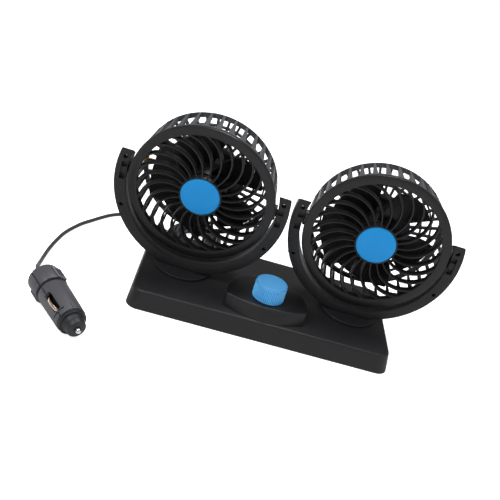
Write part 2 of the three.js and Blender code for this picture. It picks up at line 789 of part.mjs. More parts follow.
// Both fans
const grilleGeometry = frontGrille();
const cageGeometry = rearCage();
const impellerGeometry = impeller();
const badgeBack = hubFront + badgeProud - badgeThickness;
for (const [side, name, yaw, tilt, turn] of [
  [-1, 'left', leftYaw, leftTilt, leftBladeTurn],
  [1, 'right', rightYaw, rightTilt, rightBladeTurn],
]) {
  const fan = new THREE.Group();
  fan.position.x = side * swivelX;
  fan.rotation.z = yaw * radians;
  whole.add(fan);
  piece(`${name}_turntable`, turned(tableOutline, bladeCount * 4), charcoal, fan);
  piece(`${name}_swivel_nut`, turned(nutOutline, midFacets), charcoal, fan);

  const yoke = new THREE.Group();
  yoke.position.z = pivotHeight;
  yoke.rotation.x = quarter;
  fan.add(yoke);
  piece(`${name}_yoke_front`, yokeFront(1), charcoal, yoke);
  piece(`${name}_yoke_back`, yokeBack(), charcoal, yoke);
  let count = 0;
  for (const across of [-1, 1]) {
    for (const [x, y, sink] of screwSpots) {
      count += 1;
      piece(`${name}_yoke_screw_${count}`, yokeScrew(sink), steel, yoke).position.set(across * x, y, 0);
    }
    const pin = pinTool(pinRadius, across * pinInner, across * pinOuter);
    piece(`${name}_tilt_pin_${across < 0 ? 1 : 2}`, pin, charcoal, yoke);
  }

  const head = new THREE.Group();
  head.position.z = pivotHeight;
  head.rotation.x = quarter + tilt * radians;
  fan.add(head);
  piece(`${name}_front_grille`, grilleGeometry.clone(), grilleBlack, head);
  piece(`${name}_badge`, rod(badgeRadius, badgeBack, badgeBack + badgeThickness, ribCount), badgeBlue, head);
  piece(`${name}_rear_cage`, cageGeometry.clone(), cageBlack, head);
  piece(`${name}_motor`, turned(motorOutline, smallFacets, true), steel, head);
  piece(`${name}_motor_lead`, cordTube(leadRoute, leadRadius, leadSides, leadSteps), leadYellow, head);
  const rotor = new THREE.Group();
  rotor.rotation.z = turn * radians;
  head.add(rotor);
  piece(`${name}_impeller`, impellerGeometry.clone(), grilleBlack, rotor);
  piece(`${name}_motor_shaft`, rod(shaftRadius, -shaftRear, shaftFront), steel, rotor);
}

// Cord gland in the back wall
const glandReach = 7.2;
const glandFlangeThickness = 1.2;
const glandSlack = clearance + (glandFlange * baseDraft) / (baseTop - baseRim);
const gland = turned([
  [0, -wall - glandSlack - glandFlangeThickness],
  [glandFlange, -wall - glandSlack - glandFlangeThickness],
  [glandFlange, -wall - glandSlack],
  [glandNeck, -wall - glandSlack],
  [glandNeck, glandSlack],
  [glandFlange, glandSlack],
  [glandNeck, glandReach],
  [0, glandReach],
], thinFacets, true);
const glandPiece = piece('cord_gland', gland, charcoal);
glandPiece.rotation.x = -quarter;
glandPiece.position.set(glandX, backWall, glandZ);

// Coil of spare lead, two layers wound inward and out again as one tube
const coilSteps = 16;
const coilSides = 6;
const coilEndTurn = 0.125;
const straight = cordRadius * 2;
const layerTurns = coilTurns / 2;
const coilLast = coilTurns - coilEndTurn;
function coilPlace(turn) {
  const inward = Math.min(turn, coilTurns - turn);
  const radius = coilOuter - coilTurnPitch * inward;
  const climb = THREE.MathUtils.clamp((turn - layerTurns) * 2 + 0.5, 0, 1);
  const rise = (1 - Math.cos(climb * Math.PI)) / 2;
  const angle = Math.PI - turn * Math.PI * 2;
  const x = coilX + radius * Math.cos(angle);
  const y = coilY + radius * Math.sin(angle);
  return new THREE.Vector3(x, y, cordRadius + coilLayerPitch * rise);
}
const coilLine = [];
const coilCount = Math.round(coilLast * coilSteps);
for (let i = 0; i <= coilCount; i += 1) coilLine.push(coilPlace((i / coilCount) * coilLast));
const coilStart = coilLine[0].clone().add(new THREE.Vector3(0, -straight, 0));
const coilOutward = coilLine.at(-1).clone().sub(coilLine.at(-2)).setZ(0).normalize();
const coilEnd = coilLine.at(-1).clone().addScaledVector(coilOutward, straight);
const coilPath = [coilStart, ...coilLine, coilEnd];
const coilRings = coilPath.map((place, i) => {
  const before = coilPath[Math.max(i - 1, 0)];
  const after = coilPath[Math.min(i + 1, coilPath.length - 1)];
  const along = after.clone().sub(before).normalize();
  const across = new THREE.Vector3(along.y, -along.x, 0).normalize();
  const up = across.clone().cross(along);
  const ring = [];
  for (let k = 0; k < coilSides; k += 1) {
    const angle = (k / coilSides) * Math.PI * 2;
    const out = across.clone().multiplyScalar(cordRadius * Math.cos(angle));
    ring.push(place.clone().add(out).addScaledVector(up, cordRadius * Math.sin(angle)));
  }
  return ring;
});
piece('cord_coil', lofted(coilRings), cordBlack);
let leastGap = Infinity;
const apart = coilSteps / 2;
coilPath.forEach((place, i) => {
  for (let k = i + apart; k < coilPath.length; k += 1) {
    leastGap = Math.min(leastGap, place.distanceTo(coilPath[k]) - straight);
  }
});
console.log('least gap of the coil to itself, mm', leastGap.toFixed(3));

// Plug, laid on the ground and drawn about its own axis from the tail to the pin
const plugX = -160.3;
const plugY = -65.8;
const plugZ = 13.9;
const plugHeading = 38.8 * radians;
const plugDip = 4 * radians;
const handleRadius = 11.6;
const handleEdge = 1.6;
const handleLength = 16.4;
const neckRadius = 9.3;
const neckRear = 9.5;
const shoulder = 17.8;
const shoulderRadius = 11.1;
const barrelRadius = 10.3;
const barrelFront = 49.4;
const barrelBore = 8.6;
const bulkhead = 21;
const fuseRadius = 3.1;
const socketOuter = 4.7;
const socketLength = 5;
const wireHole = 1.5;
const reliefNeck = 2.3;
const reliefFlange = 4.2;
const reliefLength = 8;
const reliefRoot = 3;
const reliefTip = 2;
const gripProud = 0.7;
const gripWidth = 8;
const gripStart = 4.5;
const contactAngle = 150 * radians;
const slotStart = 26.6;
const slotEnd = 44.2;
const slotWidth = 4.2;
const plug = new THREE.Group();
plug.position.set(plugX, plugY, plugZ);
plug.rotation.z = plugHeading;
whole.add(plug);
const plugAxis = new THREE.Group();
plugAxis.rotation.x = quarter + plugDip;
plug.add(plugAxis);

// Plug handle with two ribbed grips, and the barrel with its contact slots
const handleShell = turned([
  [reliefNeck + clearance, 0],
  [handleRadius - handleEdge, 0],
  [handleRadius, handleEdge],
  [handleRadius, handleLength],
  [neckRadius + clearance, handleLength],
  [neckRadius + clearance, wall],
  [reliefNeck + clearance, wall],
], plugFacets);
const gripLength = handleLength - gripStart;
const grips = [1, -1].map((side) => {
  const inner = handleRadius * Math.cos(Math.PI / plugFacets) - gripProud;
  const grip = block(handleRadius + gripProud - inner, gripWidth, gripLength);
  const middle = (handleRadius + gripProud + inner) / 2;
  return grip.translate(side * middle, 0, gripStart + gripLength / 2).rotateZ(contactAngle - quarter);
});
piece('plug_handle', joined(handleShell, ...grips), plugGrey, plugAxis);
const bulkheadFront = bulkhead + wall;
const barrelShell = turned([
  [neckRadius, neckRear],
  [neckRadius, shoulder],
  [shoulderRadius, shoulder],
  [barrelRadius, barrelFront],
  [barrelBore, barrelFront],
  [barrelBore, bulkheadFront],
  [socketOuter, bulkheadFront],
  [socketOuter, bulkheadFront + socketLength],
  [fuseRadius + clearance, bulkheadFront + socketLength],
  [fuseRadius + clearance, bulkheadFront],
  [wireHole, bulkheadFront],
  [wireHole, bulkhead],
  [neckRadius - wall, bulkhead],
  [neckRadius - wall, neckRear],
], plugFacets);
const slots = [1, -1].map((side) => {
  const slot = block(wall * 4, slotWidth, slotEnd - slotStart);
  return slot.translate(side * barrelRadius, 0, (slotEnd + slotStart) / 2).rotateZ(contactAngle);
});
piece('plug_barrel', cut(barrelShell, ...slots), plugGrey, plugAxis);

// Strain relief on the tail
piece('plug_strain_relief', turned([
  [0, wall + clearance + glandFlangeThickness],
  [reliefFlange, wall + clearance + glandFlangeThickness],
  [reliefFlange, wall + clearance],
  [reliefNeck, wall + clearance],
  [reliefNeck, -clearance],
  [reliefRoot, -clearance],
  [reliefTip, -reliefLength],
  [0, -reliefLength],
], thinFacets, true), plugGrey, plugAxis);

// Nose, fuse, spring and centre pin
const noseCollar = 9.9;
const noseCollarFront = 52.3;
const noseRoot = 7.8;
const noseTip = 6.6;
const noseFront = 59.2;
const noseLip = 1.8;
const centrePin = 1.9;
const pinFlange = 4.2;
const pinFlangeThickness = 1.2;
const pinTail = 1.5;
const pinTailLength = 2.5;
const pinTravel = 2.5;
const pinReach = 62.8;
const fuseFront = 48.4;
const springOuter = 3.4;
const springInner = 2.2;
const collarRearFace = barrelFront + clearance;
const flangeFront = noseFront - noseLip - clearance;
const flangeBack = flangeFront - pinFlangeThickness;
const springFront = flangeBack - pinTravel - clearance;
piece('plug_nose', turned([
  [barrelBore - clearance, barrelFront - clearance - wall],
  [barrelBore - clearance, collarRearFace],
  [noseCollar, collarRearFace],
  [noseCollar, noseCollarFront],
  [noseRoot, noseCollarFront],
  [noseTip, noseFront - yokeEdge],
  [noseTip - yokeEdge, noseFront],
  [centrePin + clearance, noseFront],
  [centrePin + clearance, noseFront - noseLip],
  [pinFlange + clearance, noseFront - noseLip],
  [pinFlange + clearance, springFront - clearance],
  [springOuter + clearance, springFront - clearance],
  [springOuter + clearance, fuseFront + clearance],
  [fuseRadius + clearance, fuseFront + clearance],
  [fuseRadius + clearance, barrelFront - clearance - wall],
], plugFacets), noseGrey, plugAxis);
piece('plug_fuse', rod(fuseRadius, bulkheadFront + clearance, fuseFront), glass, plugAxis);
piece('plug_spring', turned([
  [springInner, fuseFront + clearance],
  [springOuter, fuseFront + clearance],
  [springOuter, springFront],
  [springInner, springFront],
], thinFacets), steel, plugAxis);
piece('plug_pin', turned([
  [0, flangeBack - pinTailLength],
  [pinTail, flangeBack - pinTailLength],
  [pinTail, flangeBack],
  [pinFlange, flangeBack],
  [pinFlange, flangeFront],
  [centrePin, flangeFront],
  [centrePin, pinReach - centrePin],
  [centrePin * 0.75, pinReach - centrePin * 0.4],
  [0, pinReach],
], thinFacets, true), steel, plugAxis);

// Two sprung side contacts bowed out through the slots
const contactWidth = 3;
const contactThickness = 0.5;
const contactSeat = barrelBore * Math.cos(Math.PI / plugFacets) - clearance - contactThickness;
const contactBow = 3.6;
const contactFront = 46;
const contactRear = 23.8;
const bowShare = [[0, 0], [0.12, 0.04], [0.27, 0.62], [0.4, 0.92], [0.54, 1], [0.68, 0.88], [0.8, 0.55], [0.9, 0.05], [1, 0]];
[1, -1].forEach((side, i) => {
  const rings = bowShare.map(([along, out]) => {
    const z = THREE.MathUtils.lerp(contactRear, contactFront, along);
    const near = contactSeat + contactBow * out;
    const far = near + contactThickness;
    const half = contactWidth / 2;
    return [[near, -half], [far, -half], [far, half], [near, half]].map(([x, y]) => new THREE.Vector3(side * x, y, z));
  });
  piece(`plug_contact_${i + 1}`, lofted(rings).rotateZ(contactAngle), brass, plugAxis);
});

// Free stretches of the lead, from the gland to the coil and from the coil to the plug
const leadSideCount = 8;
const inSteps = 8;
const runSteps = 28;
const glandEnd = backWall + glandReach + clearance;
const leadIn = [
  [glandX, glandEnd, glandZ],
  [glandX, glandEnd + 3, glandZ - 0.05],
  [glandX, 66, 4.15],
  [glandX, 68.6, 2.75],
  [glandX, 71.2, 1.78],
  [glandX, 74, 1.55],
  [glandX, coilStart.y - clearance, 1.53],
];
piece('cord_lead', cordTube(leadIn, cordRadius, leadSideCount, inSteps), cordBlack);
const runStart = coilEnd.clone().addScaledVector(coilOutward, clearance);
const runNext = runStart.clone().addScaledVector(coilOutward, straight);
plug.updateMatrixWorld(true);
const runEnd = plugAxis.localToWorld(new THREE.Vector3(0, 0, -reliefLength - clearance));
const runBefore = plugAxis.localToWorld(new THREE.Vector3(0, 0, -reliefLength - clearance - straight));
const leadOut = [
  runStart.toArray(),
  runNext.toArray(),
  [-88.6, 73.6, 4.95],
  [-91.8, 76.4, 4.1],
  [-95.5, 79.2, 2.6],
  [-99.5, 81.8, 1.65],
  [-104.5, 84.8, 1.55],
  [-111, 87.9, 1.55],
  [-117.5, 90, 1.55],
  [-124, 90.9, 1.55],
  [-129.5, 90.5, 1.55],
  [-134.1, 88.5, 1.55],
  [-140.6, 82.2, 1.55],
  [-147.1, 72.6, 1.55],
  [-153.2, 62.3, 1.55],
  [-159, 52.1, 1.55],
  [-164.1, 39.6, 1.55],
  [-167.9, 26.7, 1.55],
  [-169.9, 13.7, 1.55],
  [-171.1, 1, 1.7],
  [-171.3, -12.5, 2.8],
  [-170.6, -26.4, 5],
  [-169.6, -39, 8],
  [-168.9, -47.4, 10.6],
  runBefore.toArray(),
  runEnd.toArray(),
];
piece('cord_run', cordTube(leadOut, cordRadius, leadSideCount, runSteps), cordBlack);

export default whole;
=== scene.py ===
import bmesh
import bpy
import json
import math
from mathutils import Matrix, Vector


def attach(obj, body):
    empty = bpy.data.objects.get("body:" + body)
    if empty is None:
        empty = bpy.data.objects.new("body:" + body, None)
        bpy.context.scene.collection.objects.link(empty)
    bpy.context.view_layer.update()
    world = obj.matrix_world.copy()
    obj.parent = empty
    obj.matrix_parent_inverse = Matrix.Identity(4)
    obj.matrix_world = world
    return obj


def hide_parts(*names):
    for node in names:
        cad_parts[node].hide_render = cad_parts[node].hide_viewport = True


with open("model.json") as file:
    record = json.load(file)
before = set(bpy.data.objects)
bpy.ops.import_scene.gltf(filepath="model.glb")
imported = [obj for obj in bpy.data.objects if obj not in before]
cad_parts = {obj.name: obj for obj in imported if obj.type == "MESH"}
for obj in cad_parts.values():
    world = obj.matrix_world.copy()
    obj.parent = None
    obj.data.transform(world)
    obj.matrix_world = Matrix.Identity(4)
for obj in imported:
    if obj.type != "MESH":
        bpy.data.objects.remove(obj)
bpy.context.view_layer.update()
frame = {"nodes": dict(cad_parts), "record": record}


# Camera: it stands in front of the two fans, a little to their left and well above them.
# It is rolled to the right, so the base runs downhill across the picture.
mm = 0.001
camera_azimuth = math.radians(-4.841)
camera_height = math.radians(25.853)
camera_roll = math.radians(17.632)
camera_distance = 616.49 * mm
camera_aim = Vector((-20.876, 0, 45.268)) * mm
film_width = 36
photo_width = 500
focal_length = 795.9
back = Vector((
    math.sin(camera_azimuth) * math.cos(camera_height),
    -math.cos(camera_azimuth) * math.cos(camera_height),
    math.sin(camera_height),
))
level = Vector((math.cos(camera_azimuth), math.sin(camera_azimuth), 0))
upright = back.cross(level)
right = level * math.cos(camera_roll) + upright * math.sin(camera_roll)
up = upright * math.cos(camera_roll) - level * math.sin(camera_roll)
camera_turn = Matrix((right, up, back)).transposed().to_4x4()
bpy.ops.object.select_all(action="DESELECT")
bpy.ops.object.camera_add()
camera = bpy.context.object
camera.data.sensor_fit = "HORIZONTAL"
camera.data.sensor_width = film_width
camera.data.lens = film_width * focal_length / photo_width
camera.data.clip_start = 0.01
camera.matrix_world = Matrix.Translation(camera_aim + back * camera_distance) @ camera_turn
bpy.context.scene.camera = camera


# Lead: one length of round two-core cord, 3 mm thick, with a smooth dark grey sheath.
# It leaves the gland in the back wall, winds into a flat coil behind the base and runs out to the plug.
cord_radius = 1.5 * mm
gland_x = -87.75
gland_mouth = 60.6
gland_height = 5
gland_route = [
    (gland_x, gland_mouth, gland_height), (gland_x, 63.9, 4.95), (gland_x, 66, 4.15), (gland_x, 68.6, 2.75),
    (gland_x, 71.2, 1.78), (gland_x, 74, 1.55), (gland_x, 78.7, 1.53),
]
coil_middle = (-64, 82)
coil_outer = 23.75
coil_low = 1.5
turn_pitch = 3.5
coil_turns = 8
places_per_turn = 28
coil_last = coil_turns - 0.125
coil_route = []
coil_places = round(coil_last * places_per_turn)
for step in range(coil_places + 1):
    turn = coil_last * step / coil_places
    inward = min(turn, coil_turns - turn)
    climb = min(max((turn - coil_turns / 2) * 2 + 0.5, 0), 1)
    angle = math.pi - turn * 2 * math.pi
    reach = coil_outer - turn_pitch * inward
    rise = coil_low + turn_pitch * (1 - math.cos(climb * math.pi)) / 2
    x = coil_middle[0] + reach * math.cos(angle)
    y = coil_middle[1] + reach * math.sin(angle)
    coil_route.append((x, y, rise))
run_route = [
    (-82.8, 67.9, 5), (-84.95, 70, 5), (-88.6, 73.6, 4.95), (-91.8, 76.4, 4.1), (-95.5, 79.2, 2.6),
    (-99.5, 81.8, 1.65), (-104.5, 84.8, 1.55), (-111, 87.9, 1.55), (-117.5, 90, 1.55), (-124, 90.9, 1.55),
    (-129.5, 90.5, 1.55), (-134.1, 88.5, 1.55), (-140.6, 82.2, 1.55), (-147.1, 72.6, 1.55),
    (-153.2, 62.3, 1.55), (-159, 52.1, 1.55), (-164.1, 39.6, 1.55), (-167.9, 26.7, 1.55),
    (-169.9, 13.7, 1.55), (-171.1, 1, 1.7), (-171.3, -12.5, 2.8), (-170.6, -26.4, 5), (-169.6, -39, 8),
    (-168.9, -47.4, 10.6),
]
plug_tail = Vector((-160.3, -65.8, 13.9))
plug_turn = Matrix.Rotation(math.radians(38.8), 4, "Z") @ Matrix.Rotation(math.radians(94), 4, "X")
plug_frame = Matrix.Translation(plug_tail * mm) @ plug_turn
for behind in (9, 6, 2, -5, -12, -20):
    run_route.append(tuple(plug_tail + plug_turn.to_3x3() @ Vector((0, 0, -behind))))


def smooth_route(places, pieces):
    # A centripetal curve through every place, as a lead lies between the spots that hold it
    places = [Vector(p) for p in places]
    ends = [places[0] * 2 - places[1]] + places + [places[-1] * 2 - places[-2]]
    line = []
    for a, b, c, d in zip(ends, ends[1:], ends[2:], ends[3:]):
        t0 = 0
        t1 = t0 + (b - a).length ** 0.5
        t2 = t1 + (c - b).length ** 0.5
        t3 = t2 + (d - c).length ** 0.5
        for k in range(pieces):
            t = t1 + (t2 - t1) * k / pieces
            ab = a * ((t1 - t) / (t1 - t0)) + b * ((t - t0) / (t1 - t0))
            bc = b * ((t2 - t) / (t2 - t1)) + c * ((t - t1) / (t2 - t1))
            cd = c * ((t3 - t) / (t3 - t2)) + d * ((t - t2) / (t3 - t2))
            abc = ab * ((t2 - t) / (t2 - t0)) + bc * ((t - t0) / (t2 - t0))
            bcd = bc * ((t3 - t) / (t3 - t1)) + cd * ((t - t1) / (t3 - t1))
            line.append(abc * ((t2 - t) / (t2 - t1)) + bcd * ((t - t1) / (t2 - t1)))
    return line + [places[-1]]


def choose(first, *others):
    # Selects pieces and makes the first one active
    bpy.ops.object.select_all(action="DESELECT")
    for piece in (first, *others):
        piece.select_set(True)
    bpy.context.view_layer.objects.active = first


def tube(name, line, radius, roundness):
    # A round length of cord or wire along a line, in the units of the line
    curve = bpy.data.curves.new(name, "CURVE")
    curve.dimensions = "3D"
    curve.bevel_depth = radius
    curve.bevel_resolution = roundness
    curve.use_fill_caps = True
    spline = curve.splines.new("POLY")
    spline.points.add(len(line) - 1)
    for point, place in zip(spline.points, line):
        point.co = (*place, 1)
    piece = bpy.data.objects.new(name, curve)
    bpy.context.scene.collection.objects.link(piece)
    choose(piece)
    bpy.ops.object.convert(target="MESH")
    return bpy.context.object


lead_line = smooth_route(gland_route, 3)[:-1]
lead_line += [Vector(p) for p in coil_route[:-1]]
lead_line += smooth_route([coil_route[-1]] + run_route, 4)
lead = tube("lead", [place * mm for place in lead_line], cord_radius, 5)
bpy.ops.object.mode_set(mode="EDIT")
bpy.ops.mesh.select_all(action="SELECT")
bpy.ops.mesh.remove_doubles(threshold=0.01 * mm)
bpy.ops.object.mode_set(mode="OBJECT")
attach(lead, "base")
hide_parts("cord_lead", "cord_coil", "cord_run")


def tone(red, green, blue):
    # A colour given 0 to 255, as the shader takes it
    shares = [value / 255 for value in (red, green, blue)]
    return tuple(((s + 0.055) / 1.055) ** 2.4 if s > 0.04045 else s / 12.92 for s in shares) + (1,)


def give(node, values):
    # Sets the values on a shader node's inputs
    for label, value in values.items():
        node.inputs[label].default_value = value


def link(start, output, end, entry):
    # Joins an output of one shader node to an input of another
    start.id_data.links.new(start.outputs[output], end.inputs[entry])


def new_group(name, inputs, outputs):
    group = bpy.data.node_groups.new(name, "ShaderNodeTree")
    for label, kind, value in inputs:
        group.interface.new_socket(name=label, in_out="INPUT", socket_type=kind).default_value = value
    for label, kind in outputs:
        group.interface.new_socket(name=label, in_out="OUTPUT", socket_type=kind)
    return group, group.nodes.new("NodeGroupInput"), group.nodes.new("NodeGroupOutput")


# Moulded grain: the fine sandy skin that an etched mould leaves on plastic, with slow clouds of shine in it
grain_group, grain_in, grain_out = new_group(
    "moulded grain",
    [
        ("Colour", "NodeSocketColor", (0.1, 0.1, 0.1, 1)),
        ("Grain per Metre", "NodeSocketFloat", 1500),
        ("Cloud per Metre", "NodeSocketFloat", 25),
        ("Cloud Depth", "NodeSocketFloat", 0.15),
        ("Dull", "NodeSocketFloat", 0.5),
        ("Shine", "NodeSocketFloat", 0.35),
    ],
    [("Colour", "NodeSocketColor"), ("Roughness", "NodeSocketFloat"), ("Height", "NodeSocketFloat")],
)
grain_place = grain_group.nodes.new("ShaderNodeTexCoord")
fine_noise = grain_group.nodes.new("ShaderNodeTexNoise")
give(fine_noise, {"Detail": 3})
cloud_noise = grain_group.nodes.new("ShaderNodeTexNoise")
give(cloud_noise, {"Detail": 4})
link(grain_place, "Object", fine_noise, "Vector")
link(grain_place, "Object", cloud_noise, "Vector")
link(grain_in, "Grain per Metre", fine_noise, "Scale")
link(grain_in, "Cloud per Metre", cloud_noise, "Scale")
cloud_tint = grain_group.nodes.new("ShaderNodeMix")
cloud_tint.data_type = "RGBA"
cloud_tint.blend_type = "MULTIPLY"
cloud_grey = grain_group.nodes.new("ShaderNodeMapRange")
give(cloud_grey, {"To Min": 0.55, "To Max": 1.45})
link(cloud_noise, "Fac", cloud_grey, "Value")
link(grain_in, "Cloud Depth", cloud_tint, "Factor")
link(grain_in, "Colour", cloud_tint, "A")
link(cloud_grey, "Result", cloud_tint, "B")
shine_range = grain_group.nodes.new("ShaderNodeMapRange")
give(shine_range, {"From Min": 0.35, "From Max": 0.65})
link(cloud_noise, "Fac", shine_range, "Value")
link(grain_in, "Dull", shine_range, "To Min")
link(grain_in, "Shine", shine_range, "To Max")
link(cloud_tint, "Result", grain_out, "Colour")
link(shine_range, "Result", grain_out, "Roughness")
link(fine_noise, "Fac", grain_out, "Height")


def moulded(name, colour, dull, shine, grain, depth, cloud=25, cloud_depth=0.15, metallic=0):
    # A finish of plastic, rubber or metal. Dull and shine are its roughness in the clouds and between them,
    # grain and cloud are counted per metre, and depth is the height of the grain in metres.
    material = bpy.data.materials.new(name)
    material.use_nodes = True
    nodes = material.node_tree.nodes
    shader = nodes["Principled BSDF"]
    skin = nodes.new("ShaderNodeGroup")
    skin.node_tree = grain_group
    give(skin, {"Colour": colour, "Grain per Metre": grain, "Cloud per Metre": cloud})
    give(skin, {"Cloud Depth": cloud_depth, "Dull": dull, "Shine": shine})
    bump = nodes.new("ShaderNodeBump")
    give(bump, {"Strength": 1, "Distance": depth})
    link(skin, "Colour", shader, "Base Color")
    link(skin, "Roughness", shader, "Roughness")
    link(skin, "Height", bump, "Height")
    link(bump, "Normal", shader, "Normal")
    give(shader, {"Metallic": metallic, "Specular IOR Level": 0.3})
    return material


sheath = moulded("lead sheath", tone(50, 51, 54), 0.5, 0.38, 900, 0.00004, 60, 0.25)
lead.data.materials.append(sheath)


# Table and light: a plain white table under a large soft lamp high on the left, a wide fill from the right
# and a smaller lamp overhead, which draws pale lines along upper edges. The camera sees white behind it all.
bpy.ops.mesh.primitive_plane_add(size=6, location=(0, 0, 0))
table = bpy.context.object
table.name = "table"
table_material = bpy.data.materials.new("white table")
table_material.use_nodes = True
table_nodes = table_material.node_tree.nodes
table_shader = table_nodes["Principled BSDF"]
give(table_shader, {"Base Color": (0.8, 0.8, 0.8, 1), "Roughness": 0.9, "Specular IOR Level": 0.1})
give(table_shader, {"Emission Color": (1, 1, 1, 1)})
table_path = table_nodes.new("ShaderNodeLightPath")
lift = table_nodes.new("ShaderNodeMath")
lift.operation = "MULTIPLY"
give(lift, {1: 0.8})
link(table_path, "Is Camera Ray", lift, 0)
link(lift, "Value", table_shader, "Emission Strength")
table.data.materials.append(table_material)
world = bpy.data.worlds.new("studio")
bpy.context.scene.world = world
world.use_nodes = True
world_nodes = world.node_tree.nodes
ambient = world_nodes["Background"]
give(ambient, {"Color": (1, 1, 1, 1), "Strength": 0.24})
backdrop = world_nodes.new("ShaderNodeBackground")
give(backdrop, {"Color": (1, 1, 1, 1), "Strength": 1})
world_path = world_nodes.new("ShaderNodeLightPath")
shown = world_nodes.new("ShaderNodeMixShader")
link(world_path, "Is Camera Ray", shown, "Fac")
link(ambient, "Background", shown, 1)
link(backdrop, "Background", shown, 2)
link(shown, "Shader", world_nodes["World Output"], "Surface")
for lamp_name, place, aim, size, power in (
    ("key lamp", (-0.7, -0.7, 1.3), (0, 0, 0.05), 0.9, 20),
    ("fill lamp", (1.2, -0.8, 0.9), (0, 0, 0.05), 1.0, 6),
    ("top lamp", (0.1, 0.35, 1.5), (0, 0, 0.1), 0.5, 15),
):
    bpy.ops.object.light_add(type="AREA", location=place)
    lamp = bpy.context.object
    lamp.name = lamp_name
    lamp.data.size = size
    lamp.data.energy = power
    lamp.rotation_euler = (Vector(aim) - Vector(place)).to_track_quat("-Z", "Y").to_euler()
bpy.context.scene.view_settings.view_transform = "Standard"


# Base shell: an upside-down tray of charcoal plastic with drafted walls, rounded corners and a softened rim.
# The control pod rises from it in the same moulding. The etched mould leaves a dull grain that holds dust.
dust_group, dust_in, dust_out = new_group(
    "dust specks",
    [("Specks per Metre", "NodeSocketFloat", 300), ("Share", "NodeSocketFloat", 0.1)],
    [("Mask", "NodeSocketFloat")],
)
dust_place = dust_group.nodes.new("ShaderNodeTexCoord")
dust_cells = dust_group.nodes.new("ShaderNodeTexVoronoi")
dust_edge = dust_group.nodes.new("ShaderNodeMapRange")
give(dust_edge, {"To Min": 1, "To Max": 0})
link(dust_place, "Object", dust_cells, "Vector")
link(dust_in, "Specks per Metre", dust_cells, "Scale")
link(dust_cells, "Distance", dust_edge, "Value")
link(dust_in, "Share", dust_edge, "From Max")
link(dust_edge, "Result", dust_out, "Mask")


def dusty(material, specks, share, colour):
    # Lays pale specks over a finish: the mask mixes the specks' colour into what the grain gives
    nodes = material.node_tree.nodes
    dust = nodes.new("ShaderNodeGroup")
    dust.node_tree = dust_group
    give(dust, {"Specks per Metre": specks, "Share": share})
    over = nodes.new("ShaderNodeMix")
    over.data_type = "RGBA"
    give(over, {"B": colour})
    shader = nodes["Principled BSDF"]
    link(shader.inputs["Base Color"].links[0].from_node, "Colour", over, "A")
    link(dust, "Mask", over, "Factor")
    link(over, "Result", shader, "Base Color")


def begin(primitive, **sizes):
    # Adds a primitive, in millimetres, and takes it into edit mode
    bpy.ops.object.select_all(action="DESELECT")
    primitive(**sizes)
    bpy.ops.object.mode_set(mode="EDIT")
    return bpy.context.object


def begin_bare():
    # A piece with nothing in it yet, in edit mode
    piece = begin(bpy.ops.mesh.primitive_plane_add, size=1)
    bpy.ops.mesh.delete(type="VERT")
    return piece


def block(width, depth, height, place=(0, 0, 0)):
    # A square block, left in edit mode
    piece = begin(bpy.ops.mesh.primitive_cube_add, size=1, location=place)
    bpy.ops.transform.resize(value=(width, depth, height))
    return piece


def leave(piece, place=None):
    # Leaves edit mode, and moves the shape to its place
    bpy.ops.object.mode_set(mode="OBJECT")
    if place:
        piece.data.transform(place)
    return piece


def around(angle, radius, height, aside=0):
    # A place at a radius and a height, turned about the upright axis
    return Matrix.Rotation(angle, 4, "Z") @ Matrix.Translation((radius, aside, height))


def pick(kind, test):
    # Selects the corners, edges or faces of the piece in hand whose middle passes a test
    mesh = bmesh.from_edit_mesh(bpy.context.object.data)
    bpy.ops.mesh.select_mode(type=kind)
    bpy.ops.mesh.select_all(action="DESELECT")
    for item in list({"VERT": mesh.verts, "EDGE": mesh.edges, "FACE": mesh.faces}[kind]):
        corners = [item.co] if kind == "VERT" else [corner.co for corner in item.verts]
        item.select_set(bool(test(sum(corners, Vector()) / len(corners), item)))
    mesh.select_flush_mode()
    bmesh.update_edit_mesh(bpy.context.object.data)


def round_along(axis, least, offset, segments):
    # Rounds the edges that run further than the least length along an axis: x, y or z
    pick("EDGE", lambda middle, edge: abs(getattr(edge.verts[0].co - edge.verts[1].co, axis)) > least)
    bpy.ops.mesh.bevel(offset=offset, segments=segments, affect="EDGES")


def draw(corners, closed=True):
    # Draws a wire from corner to corner by extruding one point
    bpy.ops.mesh.select_mode(type="VERT")
    bpy.ops.mesh.select_all(action="DESELECT")
    bpy.ops.mesh.primitive_plane_add(size=0.01)
    bpy.ops.mesh.merge(type="CENTER")
    bpy.ops.transform.translate(value=corners[0])
    for here, there in zip(corners, corners[1:]):
        bpy.ops.mesh.extrude_region_move(TRANSFORM_OT_translate={"value": Vector(there) - Vector(here)})
    if closed:
        first = Vector(corners[0])
        last = Vector(corners[-1])
        pick("VERT", lambda middle, corner: min((middle - first).length, (middle - last).length) < 0.001)
        bpy.ops.mesh.edge_face_add()


def tidy(piece):
    # Merges doubled corners and turns every face outwards
    bpy.ops.object.mode_set(mode="EDIT")
    bpy.ops.mesh.select_all(action="SELECT")
    bpy.ops.mesh.remove_doubles(threshold=0.0005)
    bpy.ops.mesh.normals_make_consistent(inside=False)
    bpy.ops.object.mode_set(mode="OBJECT")
    return piece


def apply_modifier(piece, kind, **settings):
    choose(piece)
    modifier = piece.modifiers.new(kind, kind)
    for label, value in settings.items():
        setattr(modifier, label, value)
    bpy.ops.object.modifier_apply(modifier=modifier.name)
    return piece


def soften(piece, width, segments=3, angle=40):
    # Rounds every edge where two faces meet at more than an angle
    return apply_modifier(
        piece, "BEVEL", width=width, segments=segments, limit_method="ANGLE", angle_limit=math.radians(angle),
    )


def together(first, *others):
    choose(first, *others)
    bpy.ops.object.join()
    return first


def copied(piece, place=None):
    twin = piece.copy()
    twin.data = piece.data.copy()
    bpy.context.scene.collection.objects.link(twin)
    if place:
        twin.data.transform(place)
    return twin


